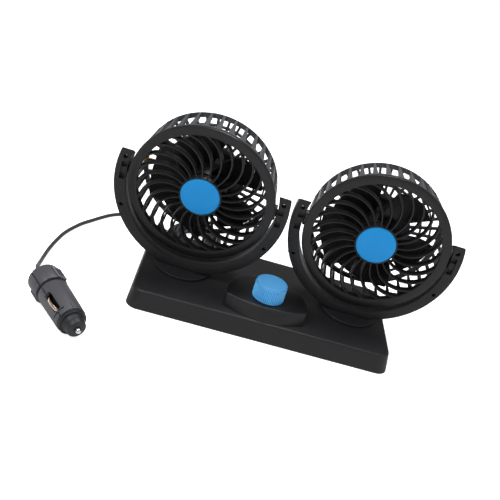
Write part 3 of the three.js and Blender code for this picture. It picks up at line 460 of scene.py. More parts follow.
def settle(piece, name, place, finish, body, slot, *nodes, smooth=35):
    # Puts a piece modelled in millimetres in its place, in metres, and hands it to its body
    piece.name = name
    piece.matrix_world = place @ Matrix.Scale(mm, 4)
    choose(piece)
    bpy.ops.object.transform_apply(location=True, rotation=True, scale=True)
    bpy.ops.object.shade_smooth_by_angle(angle=math.radians(smooth))
    piece.data.materials.clear()
    piece.data.materials.append(finish)
    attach(piece, body)
    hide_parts(*nodes)


def paint(piece, place, finish, test):
    # Gives another finish to the faces whose middle, in millimetres from the piece's own place, passes a test
    piece.data.materials.append(finish)
    for face in piece.data.polygons:
        if test(place.inverted() @ face.center / mm):
            face.material_index = len(piece.data.materials) - 1


charcoal = moulded("charcoal housing", tone(25, 25, 27), 0.56, 0.42, 1300, 0.00005, 22, 0.2)
dusty(charcoal, 260, 0.035, tone(110, 108, 106))
darker_smooth_charcoal = moulded("darker smooth charcoal", tone(13, 13, 15), 0.46, 0.34, 1300, 0.00002, 30, 0.15)
base_length = 203
base_depth = 108.2
base_top = 15.5
base_low = 0.5
wall_draft = 4.8
corner_radius = 9.4
rim_radius = 1.4
shell_wall = 2.2
tray = block(base_length, base_depth, base_top - base_low)
bpy.ops.transform.translate(value=(0, 0, (base_top + base_low) / 2))
pick("FACE", lambda middle, face: middle.z > base_top - 0.5)
bpy.ops.transform.resize(value=(1 - wall_draft / base_length, 1 - wall_draft / base_depth, 1))
round_along("z", least=10, offset=corner_radius, segments=12)
pick("FACE", lambda middle, face: middle.z > base_top - 0.1)
bpy.ops.mesh.region_to_loop()
bpy.ops.mesh.bevel(offset=rim_radius, segments=5, affect="EDGES")
pick("FACE", lambda middle, face: middle.z < base_low + 0.5)
bpy.ops.mesh.delete(type="FACE")
bpy.ops.object.mode_set(mode="OBJECT")
apply_modifier(tray, "SOLIDIFY", thickness=shell_wall, offset=-1, use_even_offset=True)


# The pod is a half round behind, with straight sides and a bowed front that leans back a little
pod_radius = 31
pod_middle = -30.5
pod_foot = 14.9
pod_top = 26
pod = begin_bare()
for height, corner_reach, bow_reach in ((pod_foot, 41.1, 51.1), (pod_top, 39.5, 47)):
    outline = []
    for k in range(41):
        angle = math.pi * k / 40
        outline.append((pod_radius * math.cos(angle), pod_middle + pod_radius * math.sin(angle), height))
    for k in range(33):
        across = k / 16 - 1
        reach = corner_reach + (bow_reach - corner_reach) * (1 - across ** 2)
        outline.append((pod_radius * across, -reach, height))
    draw(outline)
bpy.ops.mesh.select_all(action="SELECT")
bpy.ops.mesh.bridge_edge_loops()
for height in (pod_foot, pod_top):
    pick("EDGE", lambda middle, edge: abs(middle.z - height) < 0.01)
    bpy.ops.mesh.edge_face_add()
tidy(pod)
soften(pod, width=0.5)
base_place = Matrix.Identity(4)
base_shell = together(tray, pod)
settle(base_shell, "base_shell_moulding", base_place, charcoal, "base", "charcoal", "base_shell")
# The pod's top gets a darker charcoal with less roughness.
paint(base_shell, base_place, darker_smooth_charcoal, lambda spot: spot.z > pod_top - 0.2)


# Turntables: flat round feet that carry the yokes. Their spigots go through the base, held by ring nuts.
# Each is turned up here from its half outline, with a softened upper rim and a dark seam left under it.
def turned(outline, steps, closed=True):
    # A half outline of radius and height, spun about the upright axis
    piece = begin_bare()
    draw([(radius, 0, height) for radius, height in outline], closed)
    bpy.ops.mesh.select_all(action="SELECT")
    bpy.ops.mesh.spin(steps=steps, angle=2 * math.pi, center=(0, 0, 0), axis=(0, 0, 1))
    return tidy(piece)


def settle_both(pattern, name, places, finish, body, slot, node):
    # Settles a copy of a piece on each fan, and throws the pattern away
    for side, place in places.items():
        settle(copied(pattern), f"{side}_{name}", place, finish, f"{side}_{body}", slot, f"{side}_{node}")
    bpy.data.objects.remove(pattern)


swivel_across = 68
pivot_height = 83.4


# Side of the base, then swivel, tilt and turn of the blades as in the photo, in degrees
fan_turns = {"left": (-1, -4.9, 9.25, -42), "right": (1, -2.82, 3.7, -20)}
foot_place = {}
yoke_place = {}
head_place = {}
rotor_place = {}
for side, (hand, yaw, tilt, blade_turn) in fan_turns.items():
    foot_turn = Matrix.Rotation(math.radians(yaw), 4, "Z")
    foot_place[side] = Matrix.Translation((hand * swivel_across * mm, 0, 0)) @ foot_turn
    pivot = foot_place[side] @ Matrix.Translation((0, 0, pivot_height * mm))
    yoke_place[side] = pivot @ Matrix.Rotation(math.radians(90), 4, "X")
    head_place[side] = pivot @ Matrix.Rotation(math.radians(90 + tilt), 4, "X")
    rotor_place[side] = head_place[side] @ Matrix.Rotation(math.radians(blade_turn), 4, "Z")
disc_radius = 22.5
disc_top = 17.6
disc_under = 15.8
spigot_radius = 9.7
spigot_end = 5.8
wire_bore = 5
turntable_outline = [
    (wire_bore, disc_top), (disc_radius, disc_top), (disc_radius, disc_under),
    (spigot_radius, disc_under), (spigot_radius, spigot_end), (wire_bore, spigot_end),
]
turntable = soften(turned(turntable_outline, steps=96), width=0.35)
settle_both(turntable, "turntable_disc", foot_place, charcoal, "yoke", "charcoal", "turntable")


# Knob: a blue moulded cap pressed on the switch spindle, with fine upright ribs round its skirt.
# Its top is smooth, a little dished, and rolls over to the ribs in a soft edge. The skirt has four steps to a
# rib, and those between the crests are drawn inwards. The hollows get a deeper blue as painted shade, and the
# top a deeper blue still as painted shade.
knob_blue = moulded("knob blue", tone(98, 186, 242), 0.55, 0.42, 1500, 0.00003, 60, 0.1)
knob_top_painted_shade = moulded("knob top painted shade", tone(63, 132, 183), 0.55, 0.42, 1500, 0.00003, 60, 0.1)
flute_painted_shade = moulded("knob flute painted shade", tone(82, 157, 211), 0.55, 0.45, 1500, 0.00003, 60, 0.1)
knob_radius = 12.3
knob_ribs = 52
knob_steps = 4 * knob_ribs
knob_rim = 38.2
knob_outline = [
    (0, 38.7), (6, 38.75), (9.5, 39.0), (10.9, 39.1), (11.5, 38.95), (11.95, 38.55), (12.1, 38.0),
    (12.15, 37.4), (knob_radius, 37.2), (knob_radius, 26.4), (12.1, 26.3), (10.4, 26.3), (10.4, 37.2),
    (5, 37.2), (5, 26.6), (2.7, 26.6), (2.7, 35.8), (0, 35.8),
]


def knob_step(place):
    # How many steps round the skirt a place is
    return math.atan2(place.y, place.x) / math.radians(360 / knob_steps)


knob = turned(knob_outline, knob_steps, closed=False)
bpy.ops.object.mode_set(mode="EDIT")
for fluted, inward in (((1, 3), 0.45), ((2,), 0.95)):
    pick("VERT", lambda middle, corner: middle.xy.length > 12.25 and round(knob_step(middle)) % 4 in fluted)
    narrower = 1 - inward / knob_radius
    bpy.ops.transform.resize(value=(narrower, narrower, 1), center_override=(0, 0, 0))
bpy.ops.object.mode_set(mode="OBJECT")
knob_place = Matrix.Translation((0, -30 * mm, 0)) @ Matrix.Rotation(math.radians(35), 4, "Z")
settle(knob, "knob_cap", knob_place, knob_blue, "knob", "knob_blue", "knob", smooth=28)


def in_flute(spot):
    return spot.z <= knob_rim and math.floor(knob_step(spot)) % 4 in (1, 2) and spot.xy.length > 11.2


# Painted shade: the top is given a darker blue that stands in for the shade on it.
paint(knob, knob_place, knob_top_painted_shade, lambda spot: spot.z > knob_rim)
# Painted shade: the hollows between the crests get a deeper blue that stands in for shade in the flutes.
paint(knob, knob_place, flute_painted_shade, in_flute)


# Yokes: each is two half rings of charcoal plastic, closed like a clam round the tilt pins.
# Four screws pull them together from the front, and snap hooks catch in the slots near the pins.
yoke_radius = 66.8
yoke_foot = -65.5
yoke_face = 8
split_gap = 0.15
tip_height = 16.6
tip_corner = 2.2
inner_across = 58
inner_down = 60.5
inner_start = 15.35
inner_sweep = 104.3
inner_corner = Vector((57.07, 15.6))


def yoke_outline(height, drawn_in):
    # The right half from the tip of the arm to the foot, then its mirror image; the tips have rounded corners
    radius = yoke_radius - drawn_in
    rise = math.asin((tip_height - tip_corner) / (radius - tip_corner))
    place = Vector(((radius - tip_corner) * math.cos(rise), tip_height - tip_corner))
    outer = []
    for k in range(6):
        angle = math.radians(90) + (rise - math.radians(90)) * k / 5
        outer.append(place + tip_corner * Vector((math.cos(angle), math.sin(angle))))
    for k in range(1, 49):
        angle = rise - (rise + math.pi / 2) * k / 48
        outer.append(Vector((radius * math.cos(angle), max(radius * math.sin(angle), yoke_foot))))
    inner = []
    for k in range(6):
        angle = math.radians(90 + inner_sweep * k / 5)
        inner.append(inner_corner + Vector((math.cos(angle), math.sin(angle))))
    rise = math.asin(inner_start / inner_down)
    for k in range(1, 49):
        angle = rise - (rise + math.pi / 2) * k / 48
        inner.append(Vector((inner_across * math.cos(angle), inner_down * math.sin(angle))))
    lines = []
    for line in (outer, inner):
        lines.append([(p.x, p.y, height) for p in line] + [(-p.x, p.y, height) for p in reversed(line[:-1])])
    return lines


def half_yoke(split, face, drawn_in):
    # Two closed outlines, at the split and at the face, are bridged, and the flat side at each is filled
    piece = begin_bare()
    for height, inset in ((split, 0), (face, drawn_in)):
        outer, inner = yoke_outline(height, inset)
        draw(outer + list(reversed(inner)))
    bpy.ops.mesh.select_all(action="SELECT")
    bpy.ops.mesh.bridge_edge_loops()
    for height in (split, face):
        pick("VERT", lambda middle, corner: abs(middle.z - height) < 0.01)
        bpy.ops.mesh.fill()
    return tidy(piece)


def slope_tips(piece):
    # The tips of the arms fall away to the back: a plane cuts across both of them and the cuts are filled
    bpy.ops.object.mode_set(mode="EDIT")
    bpy.ops.mesh.select_all(action="SELECT")
    cut_place = (0, 16.3, yoke_face)
    cut_side = (0, 1, -0.45)
    bpy.ops.mesh.bisect(plane_co=cut_place, plane_no=cut_side, use_fill=True, clear_outer=True)
    return tidy(piece)


def carve(piece, *tools):
    # Cuts the tools out of a piece with one boolean, and throws them away
    tool = together(*tools) if len(tools) > 1 else tools[0]
    apply_modifier(piece, "BOOLEAN", operation="DIFFERENCE", solver="EXACT", object=tool)
    bpy.data.objects.remove(tool)


def drill(radius, depth, place, sides=32, turn=(0, 0, 0)):
    # A round tool for cutting, upright unless it is turned
    cylinder = bpy.ops.mesh.primitive_cylinder_add
    return leave(begin(cylinder, vertices=sides, radius=radius, depth=depth, location=place, rotation=turn))


def drill_pair(radius, depth, across, sides=32):
    # Two round tools along the tilt axis, one at each side
    return [drill(radius, depth, (hand * across, 0, 0), sides, (0, math.pi / 2, 0)) for hand in (-1, 1)]


def chisel(width, height, depth, place):
    # A square tool for cutting, with its upright edges a little rounded
    tool = block(width, height, depth, place)
    round_along("z", least=depth / 2, offset=min(0.3, width / 5, height / 5), segments=2)
    return leave(tool)


pin_radius = 3
pin_bore = pin_radius + 0.3
bore_across = 58.5
slot_across = 60.5
slot_width = 4.4
slot_length = 13.7
slot_middle = -1.35
pocket_length = 4.2
screw_depth = 4.8
screw_spots = ((61, 9.9, 1.75), (56.6, -28.3, 1.45))
front_half = soften(slope_tips(half_yoke(split_gap, yoke_face, drawn_in=0)), width=0.6)
for hand in (-1, 1):
    for x, y, sink in screw_spots:
        carve(front_half, drill(sink, 6, (hand * x, y, yoke_face + 3 - screw_depth)))
    carve(front_half, chisel(slot_width, slot_length, 2, (hand * slot_across, slot_middle, yoke_face)))
    for pocket in (3.4, -6.1):
        carve(front_half, chisel(slot_width, pocket_length, 6, (hand * slot_across, pocket, yoke_face)))
for tool in drill_pair(pin_bore, depth=12, across=bore_across):
    carve(front_half, tool)


# A small nub stands out from the rim, low on the left
nub_angle = math.radians(206)
nub = block(1.4, 1.4, 2.8)
bpy.ops.mesh.bevel(offset=0.25, segments=2, affect="EDGES")
leave(nub, Matrix.Translation((yoke_radius * math.cos(nub_angle), yoke_radius * math.sin(nub_angle), 4)))
together(front_half, nub)
back_half = soften(slope_tips(half_yoke(-split_gap, -yoke_face, drawn_in=1.5)), width=0.8)
for tool in drill_pair(pin_bore, depth=12, across=bore_across):
    carve(back_half, tool)
settle_both(front_half, "yoke_front_half", yoke_place, charcoal, "yoke", "charcoal", "yoke_front")
settle_both(back_half, "yoke_back_half", yoke_place, charcoal, "yoke", "charcoal", "yoke_back")


# Screws: small steel ones with a round head and a cross recess. Four hold each yoke together.
# Each is turned from its half outline, and the cross is pressed into its head.
screw_top = 5
screw_under = 3.5
screw_tip = -4.4
shank_radius = 0.8
head_clearance = 0.25
steel = moulded("steel", tone(185, 184, 180), 0.38, 0.22, 3000, 0.00001, metallic=1)


def screw(head):
    outline = [
        (0, screw_top), (head * 0.6, screw_top - 0.08), (head * 0.88, screw_top - 0.3),
        (head, screw_top - 0.7), (head, screw_under), (shank_radius, screw_under),
        (shank_radius, screw_tip + 0.5), (0, screw_tip),
    ]
    piece = turned(outline, steps=20, closed=False)
    for wide, long in ((1.1, 0.26), (0.26, 1.1)):
        carve(piece, chisel(head * wide, head * long, 1.4, (0, 0, screw_top)))
    return piece


for side, place in yoke_place.items():
    spots = [(hand * x, y, sink) for hand in (-1, 1) for x, y, sink in screw_spots]
    for count, (x, y, sink) in enumerate(spots, 1):
        held = screw(sink - head_clearance)
        held.data.transform(Matrix.Translation((x, y, 0)))
        name = f"{side}_yoke_screw_steel_{count}"
        settle(held, name, place, steel, f"{side}_yoke", "steel", f"{side}_yoke_screw_{count}")


# Tilt pins: stout round pins across each yoke, held in its two halves, which pass into the ears of the head.
pin_length = 10.7
pin_inner = 53.5
pin_outline = [(0, 0), (pin_radius - 0.5, 0), (pin_radius, 0.5), (pin_radius, pin_length - 0.4)]
pin_outline += [(pin_radius - 0.4, pin_length), (0, pin_length)]
for side, place in yoke_place.items():
    for count, hand in ((1, -1), (2, 1)):
        pin = turned(pin_outline, steps=48, closed=False)
        pin_turn = Matrix.Rotation(hand * math.pi / 2, 4, "Y")
        pin.data.transform(pin_turn @ Matrix.Translation((0, 0, pin_inner)))
        name = f"{side}_tilt_pin_round_{count}"
        settle(pin, name, place, charcoal, f"{side}_yoke", "charcoal", f"{side}_tilt_pin_{count}")


# Rear cages: open baskets of dark plastic that close each fan from behind and carry its motor in a round cup.
# Tapered bars run back from the flange to a thin rim, the flat back is a wheel of radial bars and two rings,
# and an ear at each side is bored for the tilt pin.
# Painted sheen: the cage's dark grey is lifted a little lighter to stand in for the highlights on its glossy
# bars.
cage_black = moulded("cage grey with painted sheen", tone(71, 72, 75), 0.46, 0.32, 1600, 0.00003)
bar_count = 36
bar_step = math.radians(360 / bar_count)
bar_width = 1.9
back_openings = ((27, 34.4), (36, 42.3), (43.7, 49))


def wedge(near, far, near_width, far_width, thickness, height, turn):
    # A tapered block lying along its radius, with rounded corners, for cutting one opening between two bars
    tool = block(far - near, near_width, thickness)
    pick("FACE", lambda middle, face: middle.x > (far - near) / 2 - 0.01)
    bpy.ops.transform.resize(value=(1, far_width / near_width, 1))
    round_along("z", least=thickness / 2, offset=0.5, segments=3)
    return leave(tool, around(turn, (near + far) / 2, height))


opening_front = 5.5
opening_back = 8
opening_length = 26
opening_start = 4.1
side_opening = block(9, opening_front, opening_length)
pick("FACE", lambda middle, face: middle.z < 0)
bpy.ops.transform.resize(value=(1, opening_back / opening_front, 1))
round_along("x", least=5, offset=0.7, segments=3)
leave(side_opening, Matrix.Translation((54, 0, opening_start - opening_length / 2)))
basket_outline = [
    (53, 6.7), (54.9, 6.7), (55.2, 6.4), (55.2, 4), (55.05, 1), (53.2, -21.2), (52.8, -22.2), (52.1, -22.9),
    (51.2, -23.35), (50.2, -23.5), (25, -23.5), (25, -21.3), (49.6, -21.3), (50.7, -20.8), (51, -19.9),
    (53, 4.4),
]
cage = turned(basket_outline, steps=144)
openings = []
for k in range(bar_count):
    openings.append(copied(side_opening, Matrix.Rotation((k + 0.5) * bar_step, 4, "Z")))
    for near, far in back_openings:
        near_width = near * bar_step - bar_width
        far_width = far * bar_step - bar_width
        turn = k * bar_step
        openings.append(wedge(near, far, near_width, far_width, thickness=6, height=-22.5, turn=turn))
bpy.data.objects.remove(side_opening)
carve(cage, *openings)
cup_outline = [
    (0, -26), (12.6, -26), (12.6, -8.3), (12.9, -8), (14.3, -8), (14.6, -8.3), (14.6, -26), (21.4, -26),
    (24.2, -23.2), (24.2, -21.5), (25.5, -21.5), (25.5, -23.6), (25.1, -24.3), (23.1, -27), (22.4, -27.4),
    (21.6, -27.5), (0, -27.5),
]
cup = turned(cup_outline, steps=96, closed=False)
ear_radius = 6
ear_length = 8.1
ear_across = 53.05
ears = together(*drill_pair(ear_radius, ear_length, ear_across, sides=64))
soften(ears, width=0.5)
cage_inside = drill(radius=52.6, depth=40, place=(0, 0, 0), sides=144)
carve(ears, cage_inside, *drill_pair(pin_bore, depth=12, across=55, sides=48))
together(cage, cup, ears)
settle_both(cage, "rear_basket", head_place, cage_black, "head", "cage_black", "rear_cage")


# Motor wires: a yellow pair that leaves the motor, lies along the floor of the cage and ends at one pin.
# The two strands lie side by side and twist slowly round each other.
wire_yellow = moulded("wire yellow", tone(150, 112, 40), 0.5, 0.38, 1500, 0.00003)
wire_route = [
    (-12.5, 0, -22.6), (-14.6, 0, -22.6), (-18.6, 0, -21.7), (-22.5, 0, -20.1), (-26.1, 0, -19.65),
    (-38, 0, -19.8), (-45.4, 0, -19.65), (-49.2, 0, -17.4), (-50, 0, -10.2), (-50.1, 0, -4.5),
    (-50.7, 0, -1.2), (-52.3, 0, 0), (-53.2, 0, 0),
]
strand_offset = 0.5
strand_radius = 0.45
twist = 0.16
sideways = Vector((0, 1, 0))
wire_line = smooth_route(wire_route, 6)
strands = []
for hand in (-1, 1):
    strand = []
    for k, place in enumerate(wire_line):
        along = (wire_line[min(k + 1, len(wire_line) - 1)] - wire_line[max(k - 1, 0)]).normalized()
        out = sideways * math.cos(k * twist) + along.cross(sideways) * math.sin(k * twist)
        strand.append(place + hand * strand_offset * out)
    strands.append(tube("strand", strand, strand_radius, roundness=3))
wires = tidy(together(*strands))
settle_both(wires, "motor_wires", head_place, wire_yellow, "head", "lead_yellow", "motor_lead")


# Impellers: five broad swept blades on a hub cap, one moulding of black plastic, pressed on the shaft.
# A blade is a twisted sheet, wider at the root, that falls back from its front edge. It is thickened here
# and its edges are rounded.
impeller_black = moulded("impeller black", tone(15, 15, 17), 0.5, 0.38, 1700, 0.00002)
blade_count = 5
blade_root = 16.3
blade_reach = 26
blade_front = 2.7
blade_fall = 19.2
blade_bow = 0.45
blade_sweep = 14.5
root_width = 70
width_lost = 11
blade = begin(bpy.ops.mesh.primitive_grid_add, x_subdivisions=14, y_subdivisions=12, size=1)
blade_mesh = bmesh.from_edit_mesh(blade.data)
for corner in blade_mesh.verts:
    out = corner.co.x + 0.5
    back = corner.co.y + 0.5
    radius = blade_root + blade_reach * out
    narrowed = 1 - 0.07 * max(0, (out - 0.72) / 0.28) ** 2
    angle = math.radians(-blade_sweep * out - (root_width - width_lost * out) * narrowed * (back - 0.5))
    fall = back + blade_bow * back * (1 - back)
    corner.co = (radius * math.cos(angle), radius * math.sin(angle), blade_front - blade_fall * fall)
bmesh.update_edit_mesh(blade.data)
apply_modifier(tidy(blade), "SOLIDIFY", thickness=1.5, offset=0)
soften(blade, width=0.5, angle=60)
hub_cap_outline = [
    (1.3, 5), (15.9, 5), (16.7, 4.7), (17, 4), (17, -13.8), (16.8, -14), (15.4, -14), (15.2, -13.8),
    (15.2, 3), (1.3, 3),
]
impeller = turned(hub_cap_outline, steps=96)
blade_turns = [math.radians(90 + 360 / blade_count * k) for k in range(blade_count)]
together(impeller, *[copied(blade, Matrix.Rotation(turn, 4, "Z")) for turn in blade_turns])
bpy.data.objects.remove(blade)
settle_both(impeller, "impeller_moulding", rotor_place, impeller_black, "rotor", "grille_black", "impeller")


# Front grilles: a flat satin bezel ring and a hub, joined by 24 ribs that sweep from one to the other.
# The ring has softened edges and a short collar that presses into the cage. The hub is a shallow dish that
# holds the badge.
grille_black = moulded("grille black", tone(22, 22, 24), 0.44, 0.34, 1700, 0.00002, 30, 0.1)
rib_count = 24
rib_steps = 16
rib_sweep = math.radians(30.6)
rib_lean = math.radians(8.6)
rib_fall = 1.8
rib_widening = 0.6
rib_end = 49.72
rib_root = Vector((0, 15.75, 0))
rib_tip = Vector((-rib_end * math.sin(rib_sweep), rib_end * math.cos(rib_sweep), 0))
rib_side = Vector((-math.cos(rib_lean), math.sin(rib_lean), 0))
rib_chord = rib_tip - rib_root
rib_radius = rib_chord.length_squared / (2 * rib_chord.dot(rib_side))
rib_centre = rib_root + rib_side * rib_radius
rib_from = math.atan2(*(rib_root - rib_centre).yx)
rib_span = (math.atan2(*(rib_tip - rib_centre).yx) - rib_from) % (2 * math.pi)
outward = Vector((math.cos(rib_from), math.sin(rib_from), 0))
rib_section = [
    (-1, 6.3), (-1, 11), (-0.8, 11.32), (-0.4, 11.47), (0, 11.5),
    (0.4, 11.47), (0.8, 11.32), (1, 11), (1, 6.3),
]
rib_half_width = 0.5
section_line = []
for across, height in rib_section:
    reach = rib_radius + rib_half_width * across
    section_line.append(rib_centre + outward * reach + Vector((0, 0, height)))
rib = begin_bare()
draw(section_line)
bpy.ops.mesh.select_all(action="SELECT")
bpy.ops.mesh.edge_face_add()
for k in range(rib_steps):
    bpy.ops.mesh.extrude_region_move()
    bpy.ops.transform.rotate(value=-rib_span / rib_steps, orient_axis="Z", center_override=rib_centre)
    bpy.ops.transform.translate(value=(0, 0, -rib_fall / rib_steps))
tidy(rib)
for corner in rib.data.vertices:
    spoke = Vector((corner.co.x, corner.co.y, 0)) - rib_centre
    along = ((math.atan2(spoke.y, spoke.x) - rib_from) % (2 * math.pi)) / rib_span
    aside = (spoke.length - rib_radius) * (1 + rib_widening * min(along, 1))
    place = rib_centre + spoke.normalized() * (rib_radius + aside)
    corner.co = (place.x, place.y, corner.co.z)
bezel_outline = [
    (49, 9.6), (49.12, 9.85), (49.4, 10), (55.3, 10), (55.8, 9.8), (56, 9.3), (56, 7.3), (55.7, 7),
    (50.6, 7), (50.6, 4.9), (50.4, 4.6), (49.2, 4.6), (49, 4.8),
]
grille = turned(bezel_outline, steps=192)
hub_outline = [
    (0, 10.4), (15.3, 10.4), (15.3, 11.6), (15.45, 11.77), (15.75, 11.8), (16.05, 11.7), (16.2, 11.4),
    (16.2, 6.2), (16, 6), (0, 6),
]
hub = turned(hub_outline, steps=128, closed=False)
rib_turns = [math.radians(-7.3 - 360 / rib_count * k) for k in range(rib_count)]
together(grille, hub, *[copied(rib, Matrix.Rotation(turn, 4, "Z")) for turn in rib_turns])
bpy.data.objects.remove(rib)
settle_both(grille, "bezel_and_ribs", head_place, grille_black, "head", "grille_black", "front_grille")


# Badges: plain round discs of blue plastic, a little domed at the rim, that snap into the hubs.
badge_blue = moulded("badge blue", tone(0, 134, 204), 0.42, 0.34, 1400, 0.00001, 45, 0.12)
badge_outline = [(0, 12.1), (13.9, 12.1), (14.5, 12.02), (14.85, 11.8), (15, 11.4), (15, 10.7), (0, 10.7)]
badge = turned(badge_outline, steps=128, closed=False)
settle_both(badge, "hub_badge", head_place, badge_blue, "head", "badge_blue", "badge")


# Plug: a socket plug laid on the table, pointing out to the front. Its handle is a grey shell that clips over
# the neck of the barrel; the round gap between them shows as a black groove. A ribbed grip stands on each
# half of the handle, in a frame painted pale grey as a highlight along its edges.
plug_grey = moulded("plug grey", tone(68, 68, 73), 0.5, 0.38, 1500, 0.00003, 40, 0.15)
grip_frame_painted_highlight = moulded("plug grip frame painted highlight", tone(128, 128, 132), 0.42, 0.3, 1500, 0.00002)
nose_grey = moulded("nose grey", tone(33, 34, 37), 0.5, 0.38, 1500, 0.00002)
handle_radius = 11.6
handle_outline = [
    (2.6, 0), (9.4, 0), (10.4, 0.25), (11.2, 0.9), (handle_radius, 1.9), (handle_radius, 15.8),
    (11.4, 16.15), (11.1, 16.25), (9.6, 16.25), (9.6, 2.2), (2.6, 2.2),
]
handle = turned(handle_outline, steps=128)
grip_turns = (60, 240)
grip_height = 10.45
grip_stand = 1.8
grip_width = 8
grip_length = 11.9
hollow_width = 5.6
hollow_length = 9.6
grip_bars = 4
bar_pitch = 2.2
pads = []
for turn in grip_turns:
    pad = block(grip_stand, grip_width, grip_length)
    pick("EDGE", lambda middle, edge: middle.x > grip_stand / 2 - 0.1)
    bpy.ops.mesh.bevel(offset=0.35, segments=3, affect="EDGES")
    leave(pad)
    carve(pad, leave(block(1, hollow_width, hollow_length, (grip_stand / 2, 0, 0))))
    for k in range(grip_bars):
        bar_height = bar_pitch * (k - (grip_bars - 1) / 2)
        together(pad, leave(block(0.5, 5.8, 0.9, (0.55, 0, bar_height))))
    pad.data.transform(around(math.radians(turn), 11.4, grip_height))
    pads.append(pad)


seam_width = 1
seam_turns = (150, 330)


def seam(piece, radius, depth, low, high, turn):
    # Cuts the fine line where two halves of a shell meet
    line = block(depth * 2, seam_width, high - low)
    carve(piece, leave(line, around(math.radians(turn), radius, (high + low) / 2)))


for turn in seam_turns:
    seam(handle, handle_radius, depth=1.4, low=-1, high=17, turn=turn)
together(handle, *pads)
settle(handle, "plug_handle_shell", plug_frame, plug_grey, "base", "plug_grey", "plug_handle")
across_grip = Vector((-math.sin(math.radians(grip_turns[0])), math.cos(math.radians(grip_turns[0]))))


def on_grip_frame(spot):
    past_end = abs(spot.z - grip_height) - hollow_length / 2
    past_side = abs(spot.xy @ across_grip) - hollow_width / 2
    return spot.xy.length > 12 and 4.2 < spot.z < 16.6 and max(past_end, past_side) > 0


# Painted highlight: the grip frames get a pale grey that stands in for light along their edges.
paint(handle, plug_frame, grip_frame_painted_highlight, on_grip_frame)


# Barrel of the plug: a second grey shell, a little tapered, with a long slot at each side for its contact.
# A bulkhead inside it holds the socket of the fuse. Its inside is painted near-black as shade.
barrel_outline = [
    (9.3, 9.5), (9.3, 18.5), (10.7, 18.5), (11, 18.65), (11.1, 19), (10.32, 49), (10.2, 49.3), (10, 49.4),
    (8.6, 49.4), (8.6, 23.2), (4.7, 23.2), (4.7, 46.4), (3.4, 46.4), (3.4, 23.2), (1.5, 23.2), (1.5, 21),
    (7.1, 21), (7.1, 9.5),
]
window_width = 5.3
window_length = 17.6
window_middle = 35.4
window_aside = -0.55
barrel = turned(barrel_outline, steps=128)
for turn in seam_turns:
    window_tool = block(6, window_width, window_length)
    round_along("x", least=4, offset=0.9, segments=4)
    carve(barrel, leave(window_tool, around(math.radians(turn), 10.3, window_middle, window_aside)))
    seam(barrel, radius=10.4, depth=1.2, low=43, high=50, turn=turn)
    seam(barrel, radius=11, depth=1.2, low=17, high=27.5, turn=turn)
    cross_seam = block(3, 10, seam_width)
    carve(barrel, leave(cross_seam, around(math.radians(turn), radius=9.9, height=45.3)))
pip = block(1, 0.7, 4.6)
bpy.ops.mesh.bevel(offset=0.2, segments=2, affect="EDGES")
leave(pip, around(math.radians(92), radius=10.25, height=46))
together(barrel, pip)
settle(barrel, "plug_barrel_shell", plug_frame, plug_grey, "base", "plug_grey", "plug_barrel")
inside_painted_shade = moulded("plug inside painted shade", tone(9, 9, 10), 0.7, 0.55, 1500, 0.00003)
# Painted shade: the faces inside the barrel get a near-black that stands in for shade behind the slots.
paint(barrel, plug_frame, inside_painted_shade, lambda spot: spot.xy.length < 8.7 and spot.z > 20)


# Nose of the plug: a darker ring with fine ridges, then a stepped tip that screws out to change the fuse.
nose_outline = [
    (8.3, 46.9), (8.3, 49.7), (9.6, 49.7), (9.9, 49.9), (9.9, 50.4), (9.65, 50.6), (9.65, 50.8), (9.9, 51),
    (9.9, 51.4), (9.65, 51.6), (9.65, 51.8), (9.8, 52), (9.6, 52.3), (8.1, 52.3), (7.8, 52.6), (7.35, 55),
    (7.1, 55.3), (7.05, 55.9), (6.6, 58.6), (6.4, 59), (6, 59.2), (2.2, 59.2), (2.2, 57.4), (4.5, 57.4),
    (4.5, 53), (3.7, 53), (3.7, 48.7), (3.4, 48.7), (3.4, 46.9),
]
nose = turned(nose_outline, steps=96)
settle(nose, "plug_nose_cap", plug_frame, nose_grey, "base", "nose_grey", "plug_nose")


# Centre pin: bright nickel, rounded at its tip, sprung so that it gives when the plug is pushed home.
nickel = moulded("nickel", tone(205, 204, 200), 0.28, 0.14, 3000, 0.000005, metallic=1)
tip_radius = 1.9
tip_start = 60.9
centre_outline = [(0, 53.4), (1.5, 53.4), (1.5, 55.9), (4.1, 55.9), (4.2, 56), (4.2, 57), (4.1, 57.1)]
centre_outline += [(tip_radius, 57.1), (tip_radius, tip_start)]
for k in range(1, 9):
    angle = math.radians(90 - 10 * k)
    centre_outline.append((tip_radius * math.sin(angle), tip_start + tip_radius * math.cos(angle)))
centre_outline.append((0, tip_start + tip_radius))
centre_pin = turned(centre_outline, steps=64, closed=False)
settle(centre_pin, "plug_centre_pin", plug_frame, nickel, "plug_pin", "nickel", "plug_pin")


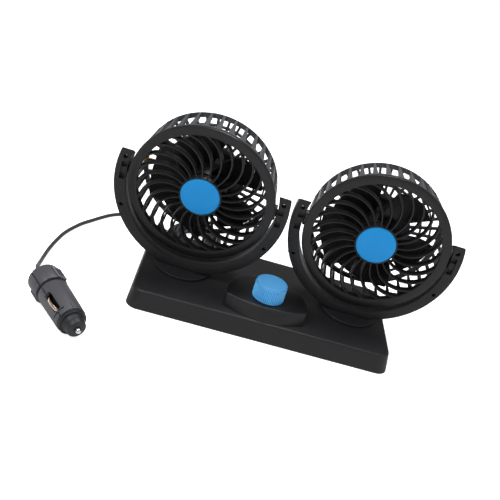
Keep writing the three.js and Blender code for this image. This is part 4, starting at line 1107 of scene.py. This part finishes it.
# Side contacts: springy strips of plated brass that bow out through the slots and touch the socket's wall.
# Each is drawn as its bowed edge, extruded to its width and thickened.
contact_strip = moulded("contact strip", tone(226, 204, 184), 0.3, 0.18, 2500, 0.00001, metallic=1)
bow = (
    (0, 0), (0.12, 0.04), (0.27, 0.62), (0.4, 0.92), (0.54, 1),
    (0.68, 0.88), (0.8, 0.55), (0.9, 0.05), (1, 0),
)
bow_root = 7.75
bow_rise = 3.6
strip_edge = -0.4
strip_start = 23.8
strip_length = 22.2
strip_width = 1.9
bow_places = []
for along, out in bow:
    bow_places.append((bow_root + bow_rise * out, strip_edge, strip_start + strip_length * along))
bow_line = smooth_route(bow_places, 4)
for count, turn in enumerate(seam_turns, 1):
    strip = begin_bare()
    draw(bow_line, closed=False)
    bpy.ops.mesh.select_all(action="SELECT")
    bpy.ops.mesh.extrude_region_move(TRANSFORM_OT_translate={"value": (0, strip_width, 0)})
    tidy(strip)
    apply_modifier(strip, "SOLIDIFY", thickness=0.45, offset=0)
    soften(strip, width=0.12, segments=2, angle=60)
    strip.data.transform(Matrix.Rotation(math.radians(turn), 4, "Z"))
    contact = f"plug_contact_{count}"
    settle(strip, f"plug_contact_leaf_{count}", plug_frame, contact_strip, contact, "contact_strip", contact)


# Strain relief of the plug and gland of the base: soft ringed sleeves that keep the lead from kinking.
relief_outline = [
    (0, 3.7), (4.2, 3.7), (4.2, 2.5), (2.3, 2.5), (2.3, 0.1), (2, -0.3), (1.64, -0.8), (1.58, -7.9),
    (1.5, -8), (0, -8),
]
relief = turned(relief_outline, steps=48, closed=False)
settle(relief, "plug_relief_sleeve", plug_frame, plug_grey, "base", "plug_grey", "plug_strain_relief")
gland_outline = [
    (0, -4.6), (3.3, -4.6), (3.3, -3.4), (2.3, -3.4), (2.3, 0.85), (3.3, 0.85), (3.2, 2.2), (2.85, 2.4),
    (2.85, 3), (3, 3.2), (2.8, 4.8), (2.5, 5), (2.5, 5.6), (2.6, 5.8), (2.3, 7.2), (0, 7.2),
]
gland_wall = Vector((gland_x, 53.38, gland_height))
gland_place = Matrix.Translation(gland_wall * mm) @ Matrix.Rotation(math.radians(-90), 4, "X")
gland = turned(gland_outline, steps=48, closed=False)
settle(gland, "lead_gland", gland_place, charcoal, "base", "charcoal", "cord_gland")


# Pieces that keep their plain machined or moulded shape, inside the housings and under the base
foam = moulded("foam pad", tone(27, 27, 28), 0.95, 0.85, 900, 0.0003)
fuse_glass = moulded("fuse glass", tone(207, 214, 218), 0.2, 0.05, 3000, 0.00001)
carried = {
    "charcoal": charcoal, "grille_black": grille_black, "cage_black": cage_black, "badge_blue": badge_blue,
    "knob_blue": knob_blue, "plug_grey": plug_grey, "nose_grey": nose_grey, "steel": steel, "nickel": nickel,
    "contact_strip": contact_strip, "lead_yellow": wire_yellow, "cord_black": sheath, "foam_pad": foam,
    "fuse_glass": fuse_glass,
}
slots = {entry["node"]: entry["material_slot"] for entry in frame["record"]["subparts"]}
for label, node in frame["nodes"].items():
    node.data.materials.clear()
    node.data.materials.append(carried[slots[label]])
